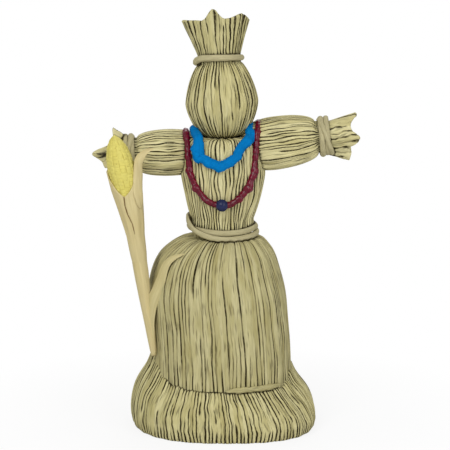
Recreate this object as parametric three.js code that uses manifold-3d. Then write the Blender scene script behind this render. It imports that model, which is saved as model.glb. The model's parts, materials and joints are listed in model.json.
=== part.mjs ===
// A corn dolly: a standing doll of tied straw bundles, with two strands and an ear of corn on a stalk.
// Millimetres, +Z up, the doll faces -Y and its left hand points along +X.
import * as THREE from "three";
import { mergeVertices } from "three/addons/utils/BufferGeometryUtils.js";
import Module from "manifold-3d";

const wasm = await Module();
wasm.setup();

// Fits
const clearance = 0.3;
const windingGap = 0.5;
const strawGroove = 0.45;

// Core straws
const spineRadius = 3.5;
const armCoreRadius = 1.6;

// Flared foot of the under-skirt
const footHalfWidth = 37.2;
const footHalfDepth = 33;
const footEdgeHeight = 4.5;
const soleInset = 2;
const soleThickness = 4;
const flareKneeHeight = 12;
const lipRise = 5.5;
const frontLipRise = -0.6;
const frontLipAngle = 49;
const sideLipAngle = 81;
const lipThickness = 0.8;
const seatSwell = 0.8;
const seatRise = 5;
const seatCrest = 3.2;
const seatCrestAngle = -68;
const seatCrestSpread = 18;
const footStraws = 30;

// Over-skirt
const hemHeight = 19;
const hemRadius = 27.8;
const skirtDepthRatio = 0.9;
const skirtThickness = 2.2;
const bellHeight = 58;
const bellSquareness = 0.64;
const skirtLean = 2.4;
const planPower = 2.5;
const skirtStraws = 28;

// Waist
const waistRadius = 12.6;
const waistCord = 2.4;
const waistTurns = 1.75;

// Torso
const torsoLength = 36.2;
const bustRadius = 16.6;
const bustRise = 22;
const bustTaper = 1.7;
const torsoDepthRatio = 0.85;
const shoulderSquareness = 0.5;
const shoulderLift = 0.4;
const collarWall = 1.2;
const torsoStraws = 18;

// Head
const neckRadius = 6;
const neckCord = 1.2;
const neckTurns = 1.25;
const socketDepth = 4.2;
const neckGap = 0.9;
const neckWall = 2;
const headRadius = 14.4;
const headBulgeRise = 13.8;
const headLength = 29;
const headLowTaper = 1.3;
const headHighTaper = 1.45;
const headDepthRatio = 0.95;
const headWall = 4;
const headTilt = 1.6;
const headStraws = 18;

// Topknot
const crownRadius = 8.3;
const crownCord = 2.4;
const crownTurns = 1.2;
const topknotLength = 14.9;
const topknotRimRadius = 12.2;
const topknotHollow = 5;
const topknotTipRise = 2.4;
const topknotStar = 0.13;
const topknotSkew = 0.8;
const topknotBend = -1.2;

// Arms
const armDrop = 0.2;
const leftArmTilt = 8.6;
const rightArmTilt = -0.4;
const armRootReach = 14.4;
const armRootRadius = 7.6;
const leftArmRadius = 10.5;
const rightArmRadius = 9.5;
const armBulgeReach = 21;
const armDepthRatio = 0.85;
const leftWristReach = 41;
const rightWristReach = 36.6;
const wristRadius = 6.2;
const wristTaper = 1.1;
const wristCord = 1.6;
const wristTurns = 2.25;
const armStraws = 12;
const coreEntry = 5;

// Hands
const handLength = 8.8;
const handRimRadius = 8;
const handHollow = 3.5;
const handTipRise = 1.6;
const handStar = 0.16;
const leftHandSkew = -1.4;
const rightHandSkew = -2;
const rightHandBend = -0.6;
const tuftTips = 5;
const tuftWall = 1.2;
const knotRadius = 1.9;
const knotAngle = 60;

// Blue strand
const blueHalfWidth = 11;
const blueRadius = 1.6;
const bluePitch = 2.5;
const blueDrop = 3.2;
const blueNapeDrop = -1;
const blueGather = 0.88;

// Red strand and its pendant
const redHalfWidth = 14.4;
const redRadius = 1.15;
const redPitch = 2.3;
const redDrop = 19;
const redNapeDrop = 5;
const redGather = 0.95;
const threadRadius = 0.4;
const pendantRadius = 2.4;
const pendantBore = 1;
const strandStandoff = 0.6;

// Corn stalk, husk and cob
const stalkFootRadius = 1.7;
const stalkFootLevel = 22;
const stalkRadius = 3;
const stalkLength = 62;
const stalkFootAngle = -62;
const stalkTopReach = 40.2;
const stalkBow = 1.4;
const cobRadius = 5;
const cobBase = 67;
const cobLength = 30;
const cobTaper = 1.4;
const cobRows = 10;
const kernelDepth = 0.45;
const huskBase = 47;
const huskThickness = 0.9;
const huskFrontRim = 74;
const huskSideRim = 82;
const huskBackRim = 87;
const leafThickness = 0.9;
const huskLeafWidth = 5;
const huskLeafRoot = 12;
const huskLeafRise = 10.5;
const huskLeafReach = 7;
const huskLeafAngle = 55;
const stalkLeafWidth = 6.5;
const stalkLeafFoot = 36;
const stalkLeafTip = 69;
const stalkLeafFootAngle = -53;
const stalkLeafTipAngle = -42;

// Heights and fits that follow from the sizes above
const waistPitch = waistCord + windingGap;
const crownPitch = crownCord + windingGap;
const wristPitch = wristCord + windingGap;
const neckPitch = neckCord + windingGap;
const waistBand = waistTurns * waistPitch + waistCord;
const crownBand = crownTurns * crownPitch + crownCord;
const wristBand = wristTurns * wristPitch + wristCord;
const bellTop = hemHeight + bellHeight;
const skirtTop = bellTop + waistBand / 2;
const torsoBase = skirtTop + clearance;
const bustHeight = skirtTop + bustRise;
const collarHeight = skirtTop + torsoLength;
const tilt = THREE.MathUtils.degToRad(headTilt);
const neckSway = socketDepth * Math.sin(Math.abs(tilt));
const neckDip = (neckRadius + neckCord + clearance) * Math.sin(Math.abs(tilt));
const socketRadius = neckRadius + neckCord + 2 * clearance + neckSway;
const socketFloor = collarHeight - socketDepth;
const spineBore = spineRadius + clearance;
const coreBore = armCoreRadius + clearance;
const armHeight = socketFloor - armDrop - coreBore;
const lipRadius = hemRadius + clearance;

// Colours
const strawColour = 0xb2ab78;
const coreColour = 0xa89a62;
const cordColour = 0xb9b086;
const tuftColour = 0xb8b283;
const huskColour = 0xc9bb8a;
const blueColour = 0x0a72b4;
const redColour = 0x6a2228;

// Helpers

function finish(colour, roughness) {
  return new THREE.MeshStandardMaterial({ color: colour, roughness, metalness: 0 });
}

function named(name, geometry, colour, roughness) {
  geometry.computeVertexNormals();
  const mesh = new THREE.Mesh(geometry, finish(colour, roughness));
  mesh.name = name;
  return mesh;
}

// Outline from the widest point of a bundle to one of its ends, [radius, height] each
function arcOutline(wide, end, squareness, steps) {
  const points = [];
  for (let i = 0; i <= steps; i += 1) {
    const turn = ((Math.PI / 2) * i) / steps;
    const across = Math.max(0, Math.cos(turn)) ** squareness;
    const along = Math.sin(turn) ** squareness;
    const radius = THREE.MathUtils.lerp(end[0], wide[0], across);
    const height = THREE.MathUtils.lerp(wide[1], end[1], along);
    points.push(new THREE.Vector2(radius, height));
  }
  return points;
}

function pairs(list) {
  return list.map(([radius, height]) => new THREE.Vector2(radius, height));
}

// Radius of an outline at a height, or its height at a radius
function readOutline(outline, from, to, value) {
  for (let i = 1; i < outline.length; i += 1) {
    const a = outline[i - 1];
    const b = outline[i];
    const low = Math.min(a[from], b[from]);
    const high = Math.max(a[from], b[from]);
    if (value >= low && value <= high && high > low) {
      return THREE.MathUtils.mapLinear(value, a[from], b[from], a[to], b[to]);
    }
  }
  return outline[outline.length - 1][to];
}

// An outline moved outwards, for one that runs upwards
function grown(outline, distance) {
  return outline.map((point, i) => {
    const before = outline[Math.max(0, i - 1)];
    const after = outline[Math.min(outline.length - 1, i + 1)];
    const along = after.clone().sub(before).normalize();
    return new THREE.Vector2(point.x + along.y * distance, point.y - along.x * distance);
  });
}

// A turned solid about +Z; angle 0 is the front, and reshape moves each point
function turned(outline, segments, reshape) {
  const geometry = new THREE.LatheGeometry(outline, segments).rotateX(Math.PI / 2);
  const place = geometry.getAttribute("position");
  const point = new THREE.Vector3();
  for (let i = 0; i < place.count; i += 1) {
    point.fromBufferAttribute(place, i);
    const angle = (2 * Math.PI * Math.floor(i / outline.length)) / segments;
    reshape(point, angle, i % outline.length);
    place.setXYZ(i, point.x, point.y, point.z);
  }
  return geometry;
}

// Straws as shallow grooves: scales a point in towards the axis at every second step
function groove(point, angle, straws, depth) {
  const radius = Math.hypot(point.x, point.y);
  const cut = depth * (0.5 - 0.5 * Math.cos(straws * angle));
  const scale = radius > depth ? (radius - cut) / radius : 1;
  point.x *= scale;
  point.y *= scale;
}

// Flattens a bundle front to back and leaves its round bore as it is
function flatten(point, ratio, bore) {
  if (Math.hypot(point.x, point.y) > bore + 1e-6) {
    point.y *= ratio;
  }
}

// A round tube along a curve, with its radius read at each length along it
function swept(curve, radiusAt, steps, sides) {
  const geometry = new THREE.CylinderGeometry(1, 1, 1, sides, steps);
  const place = geometry.getAttribute("position");
  const frames = curve.computeFrenetFrames(steps, false);
  const length = curve.getLength();
  for (let i = 0; i < place.count; i += 1) {
    const step = Math.round((place.getY(i) + 0.5) * steps);
    const radius = radiusAt((length * step) / steps, length);
    const point = curve.getPointAt(step / steps);
    point.addScaledVector(frames.normals[step], place.getX(i) * radius);
    point.addScaledVector(frames.binormals[step], -place.getZ(i) * radius);
    place.setXYZ(i, point.x, point.y, point.z);
  }
  return geometry;
}

// A flat blade along a curve; facing gives its outward direction at each share of the length
function blade(curve, widthAt, thickness, facing, steps) {
  const geometry = new THREE.BoxGeometry(1, 1, 1, 2, 1, steps);
  const place = geometry.getAttribute("position");
  for (let i = 0; i < place.count; i += 1) {
    const share = place.getZ(i) + 0.5;
    const tangent = curve.getTangentAt(share);
    const outward = facing(share).addScaledVector(tangent, -facing(share).dot(tangent)).normalize();
    const side = new THREE.Vector3().crossVectors(outward, tangent);
    const point = curve.getPointAt(share);
    point.addScaledVector(side, place.getX(i) * widthAt(share));
    point.addScaledVector(outward, place.getY(i) * thickness);
    place.setXYZ(i, point.x, point.y, point.z);
  }
  return geometry;
}

function solidOf(geometry) {
  const bare = geometry.clone();
  bare.deleteAttribute("normal");
  bare.deleteAttribute("uv");
  const merged = mergeVertices(bare, 1e-4);
  const vertProperties = new Float32Array(merged.getAttribute("position").array);
  const triVerts = new Uint32Array(merged.index.array);
  return new wasm.Manifold(new wasm.Mesh({ numProp: 3, vertProperties, triVerts }));
}

function cut(geometry, ...tools) {
  let solid = solidOf(geometry);
  for (const tool of tools) {
    solid = solid.subtract(solidOf(tool));
  }
  const mesh = solid.getMesh();
  const result = new THREE.BufferGeometry();
  result.setAttribute("position", new THREE.BufferAttribute(new Float32Array(mesh.vertProperties), 3));
  result.setIndex(new THREE.BufferAttribute(new Uint32Array(mesh.triVerts), 1));
  return result;
}

// A cord wound round a bundle about +Z, with a straight run of one cord diameter at each end
class Winding extends THREE.Curve {
  constructor(halfWidth, halfDepth, pitch, turns, start, cord) {
    super();
    Object.assign(this, { halfWidth, halfDepth, pitch, turns, start, cord });
    this.run = cord / (2 * Math.PI * Math.min(halfWidth, halfDepth));
  }

  onTurn(count) {
    const angle = this.start + 2 * Math.PI * count;
    const height = this.pitch * (this.turns / 2 - count);
    return new THREE.Vector3(this.halfWidth * Math.sin(angle), -this.halfDepth * Math.cos(angle), height);
  }

  getPoint(share, target = new THREE.Vector3()) {
    const count = share * this.turns;
    const first = this.run;
    const last = this.turns - this.run;
    const inside = THREE.MathUtils.clamp(count, first, last);
    const point = this.onTurn(inside);
    if (count !== inside) {
      const ahead = this.onTurn(inside + 1e-4).sub(this.onTurn(inside - 1e-4)).divideScalar(2e-4);
      point.addScaledVector(ahead, count - inside);
    }
    return target.copy(point);
  }
}

function leastGap(curve, diameter, steps) {
  const points = curve.getSpacedPoints(steps);
  const stride = curve.getLength() / steps;
  const apart = Math.ceil((3 * diameter) / stride);
  let gap = Infinity;
  for (let i = 0; i < points.length; i += 1) {
    for (let j = i + apart; j < points.length; j += 1) {
      gap = Math.min(gap, points[i].distanceTo(points[j]) - diameter);
    }
  }
  return gap;
}

// A tie wound round an oval bundle of the given half width and depth ratio
function tie(name, radius, depthRatio, cord, pitch, turns, startDegrees) {
  const stand = clearance + cord / 2;
  const start = THREE.MathUtils.degToRad(startDegrees);
  const curve = new Winding(radius + stand, radius * depthRatio + stand, pitch, turns, start, cord);
  const steps = Math.ceil(24 * turns);
  console.log(`${name} least gap between turns ${leastGap(curve, cord, 400).toFixed(2)} mm`);
  return named(name, swept(curve, () => cord / 2, steps, 6), cordColour, 0.85);
}

// A tuft of husk about +Z: a bound neck that opens to a star-shaped, hollow end
function tuft({ neck, band, length, rim, hollow, rise, star, ratio, phase, bore, boreDepth, skew, bend }) {
  const mouth = length + band;
  const open = pairs([
    [neck, 0],
    [neck, band],
    [THREE.MathUtils.lerp(neck, rim, 0.12), band + length * 0.3],
    [THREE.MathUtils.lerp(neck, rim, 0.5), band + length * 0.68],
    [rim, mouth],
  ]);
  const inside = pairs([
    [rim - tuftWall, mouth],
    [THREE.MathUtils.lerp(neck, rim, 0.4) - tuftWall, mouth - hollow * 0.65],
    [0, mouth - hollow],
  ]);
  const root = bore > 0 ? pairs([[0, boreDepth], [bore, boreDepth], [bore, 0]]) : pairs([[0, 0]]);
  const outline = [...root, ...open, ...inside];
  const turn = THREE.MathUtils.degToRad(phase);
  return turned(outline, 6 * tuftTips, (point, angle, row) => {
    const skin = row >= root.length + 2;
    const share = skin ? THREE.MathUtils.clamp((point.z - band) / length, 0, 1) ** 2 : 0;
    const wave = Math.cos(tuftTips * (angle - turn));
    const scale = 1 + star * share * wave;
    flatten(point, ratio, bore);
    point.x *= scale;
    point.y *= scale;
    const heart = row === outline.length - 1;
    point.z += heart ? 0 : share * (rise * wave + (skew * point.x) / rim);
    point.x += bend * share;
  });
}

const doll = new THREE.Group();
doll.name = "corn_dolly";

// Skirts

// Outline of the bell, set in by a wall; from the hem up to its top
function bellOutline(inset, steps) {
  const wide = [hemRadius - inset, hemHeight];
  const end = [waistRadius - inset, bellTop - inset];
  return arcOutline(wide, end, bellSquareness, steps);
}

const bell = bellOutline(0, 8);

// The skirts are a little square in plan, more so away from the waist
function skirtPlan(angle, radius) {
  const power = Math.abs(Math.sin(angle)) ** planPower + Math.abs(Math.cos(angle)) ** planPower;
  const out = THREE.MathUtils.clamp((radius - waistRadius) / (hemRadius - waistRadius), 0, 1);
  return 1 + (power ** (-1 / planPower) - 1) * out;
}

// The hip swings to the doll's right, above the hem and below the waist
function hipShift(height) {
  const up = THREE.MathUtils.clamp((height - hemHeight) / bellHeight, 0, 1);
  return -skirtLean * 2.6 * up ** 2 * (1 - up ** 4);
}

// Squares, leans and flattens a point of a skirt, outside its round bore
function skirtShape(point, angle, ratio) {
  const radius = Math.hypot(point.x, point.y);
  if (radius > spineBore + 1e-6) {
    const scale = skirtPlan(angle, radius);
    point.x = point.x * scale + hipShift(point.z);
    point.y *= scale * ratio;
  }
}

const overOutline = [
  ...bell,
  new THREE.Vector2(waistRadius, skirtTop),
  new THREE.Vector2(spineBore, skirtTop),
  new THREE.Vector2(spineBore, bellTop - skirtThickness),
  ...bellOutline(skirtThickness, 4).reverse(),
  bell[0],
];
const overSkirt = turned(overOutline, 2 * skirtStraws, (point, angle, row) => {
  const outer = row < bell.length - 1 || row === overOutline.length - 1;
  skirtShape(point, angle, skirtDepthRatio);
  groove(point, angle, skirtStraws, outer ? strawGroove : 0);
});
doll.add(named("over_skirt", overSkirt, strawColour, 0.85));

const sole = pairs([
  [0, 0],
  [footHalfWidth - soleInset, 0],
  [footHalfWidth - soleInset * 0.3, footEdgeHeight * 0.3],
]);
const flare = new THREE.QuadraticBezierCurve(
  new THREE.Vector2(footHalfWidth, footEdgeHeight),
  new THREE.Vector2(footHalfWidth, flareKneeHeight),
  new THREE.Vector2(lipRadius + lipThickness, hemHeight + lipRise),
).getPoints(5);
const groovePoints = pairs([
  [lipRadius, hemHeight + lipRise],
  [lipRadius, hemHeight - clearance],
]);
const innerWall = skirtThickness + clearance;
const petticoat = bellOutline(innerWall, 4);
petticoat[0].y = hemHeight - clearance;
const underOutline = [
  ...sole,
  ...flare,
  ...groovePoints,
  ...petticoat,
  ...pairs([[spineBore, bellTop - innerWall], [spineBore, soleThickness], [0, soleThickness]]),
];
const flareRows = sole.length + flare.length;
const flareHeight = hemHeight + lipRise - footEdgeHeight;
const frontLip = (hemHeight + frontLipRise - footEdgeHeight) / flareHeight;
const frontLipCos = Math.cos(THREE.MathUtils.degToRad(frontLipAngle));
const sideLipCos = Math.cos(THREE.MathUtils.degToRad(sideLipAngle));

// The lip's rise at the doll's right, where the stalk is seated
function seatLift(angle) {
  const right = Math.max(0, -Math.sin(angle));
  const off = THREE.MathUtils.euclideanModulo(THREE.MathUtils.radToDeg(angle) - seatCrestAngle + 180, 360) - 180;
  return seatRise * right ** 2 + seatCrest * Math.exp(-((off / seatCrestSpread) ** 2));
}

const underSkirt = turned(underOutline, 2 * footStraws, (point, angle, row) => {
  const radius = Math.hypot(point.x, point.y);
  const foot = row < flareRows;
  const spread = THREE.MathUtils.clamp((radius - lipRadius) / (footHalfWidth - lipRadius), 0, 1);
  const ratio = THREE.MathUtils.lerp(skirtDepthRatio, footHalfDepth / footHalfWidth, spread);
  const up = THREE.MathUtils.clamp((point.z - footEdgeHeight) / flareHeight, 0, 1);
  if (foot) {
    groove(point, angle, footStraws, row > 1 && row < flareRows - 1 ? strawGroove : 0);
    const swell = seatSwell * Math.sin(Math.PI * up) * Math.max(0, -Math.sin(angle)) ** 3;
    point.x *= 1 + swell / Math.max(radius, 1);
  }
  const height = point.z;
  skirtShape(point, angle, foot ? ratio : skirtDepthRatio);
  point.x -= foot ? hipShift(height) : 0;
  const lipRow = foot || row === flareRows;
  if (lipRow && point.z > footEdgeHeight) {
    const front = THREE.MathUtils.smoothstep(Math.abs(Math.cos(angle)), sideLipCos, frontLipCos);
    const scale = THREE.MathUtils.lerp(1, frontLip, front);
    point.z = footEdgeHeight + (point.z - footEdgeHeight) * scale + up * seatLift(angle);
  }
});
doll.add(named("under_skirt", underSkirt, strawColour, 0.85));

// Torso

const bust = [bustRadius, bustHeight];
const torsoRise = arcOutline(bust, [waistRadius, torsoBase + waistBand / 2], bustTaper, 4).reverse();
const collarRadius = socketRadius + collarWall;
const torsoFall = arcOutline(bust, [collarRadius, collarHeight], shoulderSquareness, 7);
const torsoSkin = [...torsoRise, ...torsoFall.slice(1)];

function raiseShoulder(point, angle, lift) {
  const radius = Math.hypot(point.x, point.y);
  const out = THREE.MathUtils.clamp((radius - collarRadius) / (bustRadius - collarRadius), 0, 1);
  const up = THREE.MathUtils.smoothstep(point.z, bustHeight, collarHeight);
  point.z += lift * up * Math.min(1, 2 * out) * Math.sin(angle) ** 2;
}

// The chest is flat and the collar is round
function torsoRatio(radius, height) {
  const inward = THREE.MathUtils.clamp((bustRadius - radius) / (bustRadius - collarRadius), 0, 1);
  return height > bustHeight ? THREE.MathUtils.lerp(torsoDepthRatio, 1, inward) : torsoDepthRatio;
}

function torsoShape(outline, straws, grooved) {
  return turned(outline, 2 * straws, (point, angle, row) => {
    const ratio = torsoRatio(Math.hypot(point.x, point.y), point.z);
    raiseShoulder(point, angle, shoulderLift);
    groove(point, angle, straws, grooved(row) ? strawGroove : 0);
    flatten(point, ratio, spineBore);
  });
}

const torsoOutline = [
  ...pairs([[spineBore, torsoBase], [waistRadius, torsoBase]]),
  ...torsoSkin,
  ...pairs([[socketRadius, collarHeight], [socketRadius, socketFloor]]),
  ...pairs([[spineBore, socketFloor], [spineBore, torsoBase]]),
];
const torsoBody = torsoShape(torsoOutline, torsoStraws, (row) => row > 2 && row < torsoSkin.length + 1);

// Smooth copy of the torso, larger by the clearance, that the arm straws are cut back to
const torsoReach = [
  new THREE.Vector2(0, torsoBase),
  new THREE.Vector2(waistRadius + clearance, torsoBase),
  ...grown(torsoSkin, 1.5 * clearance),
  new THREE.Vector2(0, collarHeight + 1.5 * clearance),
];
const torsoLimit = torsoShape(torsoReach, torsoStraws, () => false);

// Arm core, bent at the spine

function armPoint(side, reach) {
  const angle = THREE.MathUtils.degToRad(side > 0 ? leftArmTilt : rightArmTilt);
  return new THREE.Vector3(side * reach * Math.cos(angle), 0, armHeight + reach * Math.sin(angle));
}

function coreCurve(extra) {
  const middle = new THREE.Vector3(0, 0, armHeight);
  const path = new THREE.CurvePath();
  const rightEnd = armPoint(-1, rightWristReach + coreEntry + extra);
  const leftEnd = armPoint(1, leftWristReach + coreEntry + extra);
  const near = spineRadius;
  path.add(new THREE.LineCurve3(rightEnd, armPoint(-1, near)));
  path.add(new THREE.QuadraticBezierCurve3(armPoint(-1, near), middle, armPoint(1, near)));
  path.add(new THREE.LineCurve3(armPoint(1, near), leftEnd));
  return path;
}

const coreBody = swept(coreCurve(0), () => armCoreRadius, 20, 8);
const coreTunnel = swept(coreCurve(clearance), () => coreBore / Math.cos(Math.PI / 8), 20, 8);
const spineLength = socketFloor - soleThickness - 2 * clearance;
const spineBody = new THREE.CylinderGeometry(spineRadius, spineRadius, spineLength, 16);
spineBody.rotateX(Math.PI / 2).translate(0, 0, soleThickness + clearance + spineLength / 2);
doll.add(named("spine_core", cut(spineBody, coreTunnel), coreColour, 0.9));
doll.add(named("torso", cut(torsoBody, coreTunnel), strawColour, 0.85));
doll.add(named("arm_core", coreBody, coreColour, 0.9));

const waistTie = tie("waist_tie", waistRadius, skirtDepthRatio, waistCord, waistPitch, waistTurns, -60);
waistTie.position.z = skirtTop + clearance / 2;
doll.add(waistTie);

// Head, in a group that leans to the doll's right about the middle of its socket

const head = new THREE.Group();
head.name = "head";
const headPivot = collarHeight - socketDepth / 2;
head.position.z = headPivot;
head.rotation.y = -tilt;
doll.add(head);
const local = (height) => height - headPivot;

const bulge = [headRadius, local(collarHeight + headBulgeRise)];
const crownBase = local(collarHeight + headLength);
const headLow = arcOutline(bulge, [neckRadius, local(collarHeight + neckGap)], headLowTaper, 5).reverse();
const headHigh = arcOutline(bulge, [crownRadius, crownBase], headHighTaper, 6);
const padRadius = headRadius - headWall;
const padBore = neckRadius - neckWall;
const padHalf = padRadius * 0.8;
const padBottom = bulge[1] - padHalf;
const spigot = local(socketFloor + clearance + neckDip);
const headSkin = [...headLow, ...headHigh.slice(1)];
const padTop = bulge[1] + padHalf;
const cavityWide = [padRadius + clearance, bulge[1]];
const cavity = arcOutline(cavityWide, [padBore, padBottom - clearance], 1, 4);
const cavityTop = arcOutline(cavityWide, [0, padTop + clearance], 1, 4).reverse();
const headOutline = [
  ...pairs([[padBore, spigot], [neckRadius, spigot]]),
  ...headSkin,
  ...pairs([[crownRadius, crownBase + crownBand / 2], [0, crownBase + crownBand / 2]]),
];
const headInside = [...cavityTop, ...cavity.slice(1), new THREE.Vector2(padBore, spigot)];
const headRows = headSkin.length;
const headBody = turned([...headOutline, ...headInside], 2 * headStraws, (point, angle, row) => {
  groove(point, angle, headStraws, row > 2 && row < headRows + 1 ? strawGroove : 0);
  point.y *= headDepthRatio;
});
head.add(named("head_bundle", headBody, strawColour, 0.85));

const padBody = turned(
  [
    ...arcOutline([padRadius, bulge[1]], [0, padBottom], 1, 4).reverse(),
    ...arcOutline([padRadius, bulge[1]], [0, padTop], 1, 4).slice(1),
  ],
  24,
  (point) => {
    point.y *= headDepthRatio;
  },
);
head.add(named("head_padding", padBody, coreColour, 0.9));

const neckTie = tie("neck_tie", neckRadius, headDepthRatio, neckCord, neckPitch, neckTurns, 100);
neckTie.position.z = spigot + (neckTurns * neckPitch + neckCord) / 2;
head.add(neckTie);

const topknotBase = crownBase + crownBand / 2 + clearance;
const topknot = tuft({
  neck: crownRadius,
  band: crownBand / 2,
  length: topknotLength - crownBand / 2,
  rim: topknotRimRadius,
  hollow: topknotHollow,
  rise: topknotTipRise,
  star: topknotStar,
  ratio: headDepthRatio,
  phase: -6,
  bore: 0,
  boreDepth: 0,
  skew: topknotSkew,
  bend: topknotBend,
});
topknot.translate(0, 0, topknotBase);
head.add(named("topknot", topknot, tuftColour, 0.8));

const crownTie = tie("crown_tie", crownRadius, headDepthRatio, crownCord, crownPitch, crownTurns, 144);
crownTie.position.z = topknotBase - clearance / 2;
head.add(crownTie);

// Arms and hands

// Turns a piece built along +Z to lie along an arm, with its front still at the front
function layAlong(geometry, side) {
  const angle = THREE.MathUtils.degToRad(side > 0 ? leftArmTilt : rightArmTilt);
  geometry.rotateY(side * (Math.PI / 2 - angle));
  geometry.translate(0, 0, armHeight);
  return geometry;
}

function sleeveSkin(side) {
  const wristReach = side > 0 ? leftWristReach : rightWristReach;
  const wide = [side > 0 ? leftArmRadius : rightArmRadius, armBulgeReach];
  const root = arcOutline(wide, [armRootRadius, armRootReach], 1, 3).reverse();
  const wrist = arcOutline(wide, [wristRadius, wristReach - wristBand / 2], wristTaper, 5);
  return [...root, ...wrist.slice(1)];
}

function arm(side, title, wristReach, phase, skew, bend) {
  const skin = sleeveSkin(side);
  const outline = [
    ...pairs([[coreBore, armRootReach]]),
    ...skin,
    ...pairs([[wristRadius, wristReach], [coreBore, wristReach], [coreBore, armRootReach]]),
  ];
  const sleeve = turned(outline, 2 * armStraws, (point, angle, row) => {
    groove(point, angle, armStraws, row > 0 && row < skin.length ? strawGroove : 0);
    flatten(point, armDepthRatio, coreBore);
  });
  doll.add(named(`${title}_arm`, cut(layAlong(sleeve, side), torsoLimit), strawColour, 0.85));
  const band = wristBand / 2;
  const hand = tuft({
    neck: wristRadius,
    band,
    length: handLength,
    rim: handRimRadius,
    hollow: handHollow,
    rise: handTipRise,
    star: handStar,
    ratio: armDepthRatio,
    phase,
    bore: coreBore,
    boreDepth: coreEntry,
    skew,
    bend,
  });
  hand.translate(0, 0, wristReach + clearance);
  doll.add(named(`${title}_hand`, layAlong(hand, side), tuftColour, 0.8));
  const angle = THREE.MathUtils.degToRad(side > 0 ? leftArmTilt : rightArmTilt);
  const tieName = `${title}_wrist_tie`;
  const wrist = tie(tieName, wristRadius, armDepthRatio, wristCord, wristPitch, wristTurns, 120);
  wrist.position.copy(armPoint(side, wristReach + clearance / 2));
  wrist.rotation.y = side * (Math.PI / 2 - angle);
  doll.add(wrist);
}

arm(1, "left", leftWristReach, 0, leftHandSkew, 0);
arm(-1, "right", rightWristReach, 180 / tuftTips, rightHandSkew, rightHandBend);

const knotBody = new THREE.SphereGeometry(knotRadius, 12, 8);
knotBody.scale(1.15, 1, 1);
const knot = named("right_wrist_knot", knotBody, cordColour, 0.85);
const knotTurn = THREE.MathUtils.degToRad(knotAngle);
const knotStand = wristCord + 2 * clearance + knotRadius;
const knotOut = (wristRadius * armDepthRatio + knotStand) * Math.cos(knotTurn);
const knotUp = (wristRadius + knotStand) * Math.sin(knotTurn);
knot.position.copy(armPoint(-1, rightWristReach)).add(new THREE.Vector3(0, -knotOut, knotUp));
doll.add(knot);

// Strands

// Torso and sleeves grown by a distance, which a strand's middle line lies on
function grownBody(distance) {
  const torsoSkinOut = grown(torsoSkin, distance);
  const low = torsoSkinOut[0].y;
  const high = torsoSkinOut[torsoSkinOut.length - 1].y;
  const trunk = [new THREE.Vector2(0, low), ...torsoSkinOut, new THREE.Vector2(0, high)];
  const shapes = [torsoShape(trunk, torsoStraws, () => false)];
  for (const side of [-1, 1]) {
    const skin = grown(sleeveSkin(side), distance);
    const tube = [new THREE.Vector2(0, armRootReach - distance)];
    tube.push(new THREE.Vector2(armRootRadius, armRootReach - distance), ...skin);
    tube.push(new THREE.Vector2(0, skin[skin.length - 1].y));
    const sleeve = turned(tube, 2 * armStraws, (point) => flatten(point, armDepthRatio, 0));
    shapes.push(layAlong(sleeve, side));
  }
  return shapes.map((shape) => new THREE.Mesh(shape));
}

// Outermost point of the meshes on the way in to a target
function landOn(meshes, target, outward) {
  const far = target.clone().addScaledVector(outward, 200);
  const ray = new THREE.Raycaster(far, outward.clone().negate());
  return ray.intersectObjects(meshes)[0].point;
}

// Shares of the width and of the drop that each strand passes through below the arms
const blueHang = [[1, 0], [0.85, 0.3], [0.65, 0.6], [0.34, 0.9], [0, 1]];
const redHang = [[1, 0], [0.95, 0.23], [0.9, 0.43], [0.7, 0.72], [0.42, 0.92], [0.2, 0.995], [0, 1]];
const blueShape = { halfWidth: blueHalfWidth, radius: blueRadius, gather: blueGather, hang: blueHang };
const redShape = { halfWidth: redHalfWidth, radius: redRadius, gather: redGather, hang: redHang };
const shoulderSteps = 4;

// A strand is at its half width on the shoulders and gathers in by the level of the arms
function strandRoute(facing, { halfWidth, radius, gather, hang }, drop, bob) {
  const meshes = grownBody(radius + strandStandoff);
  const route = [];
  for (const side of [-1, 1]) {
    const axis = armPoint(side, halfWidth / Math.cos(THREE.MathUtils.degToRad(leftArmTilt)));
    const half = [];
    for (let i = 0; i <= shoulderSteps; i += 1) {
      const turn = ((Math.PI / 2) * i) / shoulderSteps;
      const outward = new THREE.Vector3(0, facing * Math.sin(turn), Math.cos(turn));
      axis.x = side * halfWidth * THREE.MathUtils.lerp(1, gather, Math.sin(turn) ** 2);
      half.push(landOn(meshes, axis, outward));
    }
    for (const share of new THREE.SplineCurve(pairs(hang)).getPoints(10).slice(1)) {
      const level = THREE.MathUtils.lerp(axis.z, armHeight - drop, share.y);
      const middle = new THREE.Vector3(side * halfWidth * gather * share.x, 0, level);
      const point = landOn(meshes, middle, new THREE.Vector3(0, facing, 0));
      point.y += facing * bob * (1 - share.x) ** 2;
      half.push(point);
    }
    route.push(side < 0 ? half : half.reverse());
  }
  const [right, left] = route;
  const low = right.pop().add(left.shift()).multiplyScalar(0.5);
  return [...right, low, ...left];
}

function strandCurve(facing, shape, drop, bob) {
  return new THREE.CatmullRomCurve3(strandRoute(facing, shape, drop, bob));
}

// Radius of a beaded strand along its length, rounded at both ends
function beaded(radius, pitch, waist) {
  return (along, length) => {
    const end = Math.min(along, length - along);
    const round = end < radius ? Math.sqrt(Math.max(0, radius ** 2 - (radius - end) ** 2)) : radius;
    const bead = radius * (waist + (1 - waist) * Math.abs(Math.sin((Math.PI * along) / pitch)));
    return Math.max(0.15, Math.min(round, bead));
  };
}

function strand(name, curve, radiusAt, pitch, colour, roughness) {
  const steps = 2 * Math.round(curve.getLength() / pitch);
  return named(name, swept(curve, radiusAt, steps, 6), colour, roughness);
}

const blueFront = strandCurve(-1, blueShape, blueDrop, 0);
const blueBeads = beaded(blueRadius, bluePitch, 0.7);
doll.add(strand("blue_strand", blueFront, blueBeads, bluePitch, blueColour, 0.6));

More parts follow.
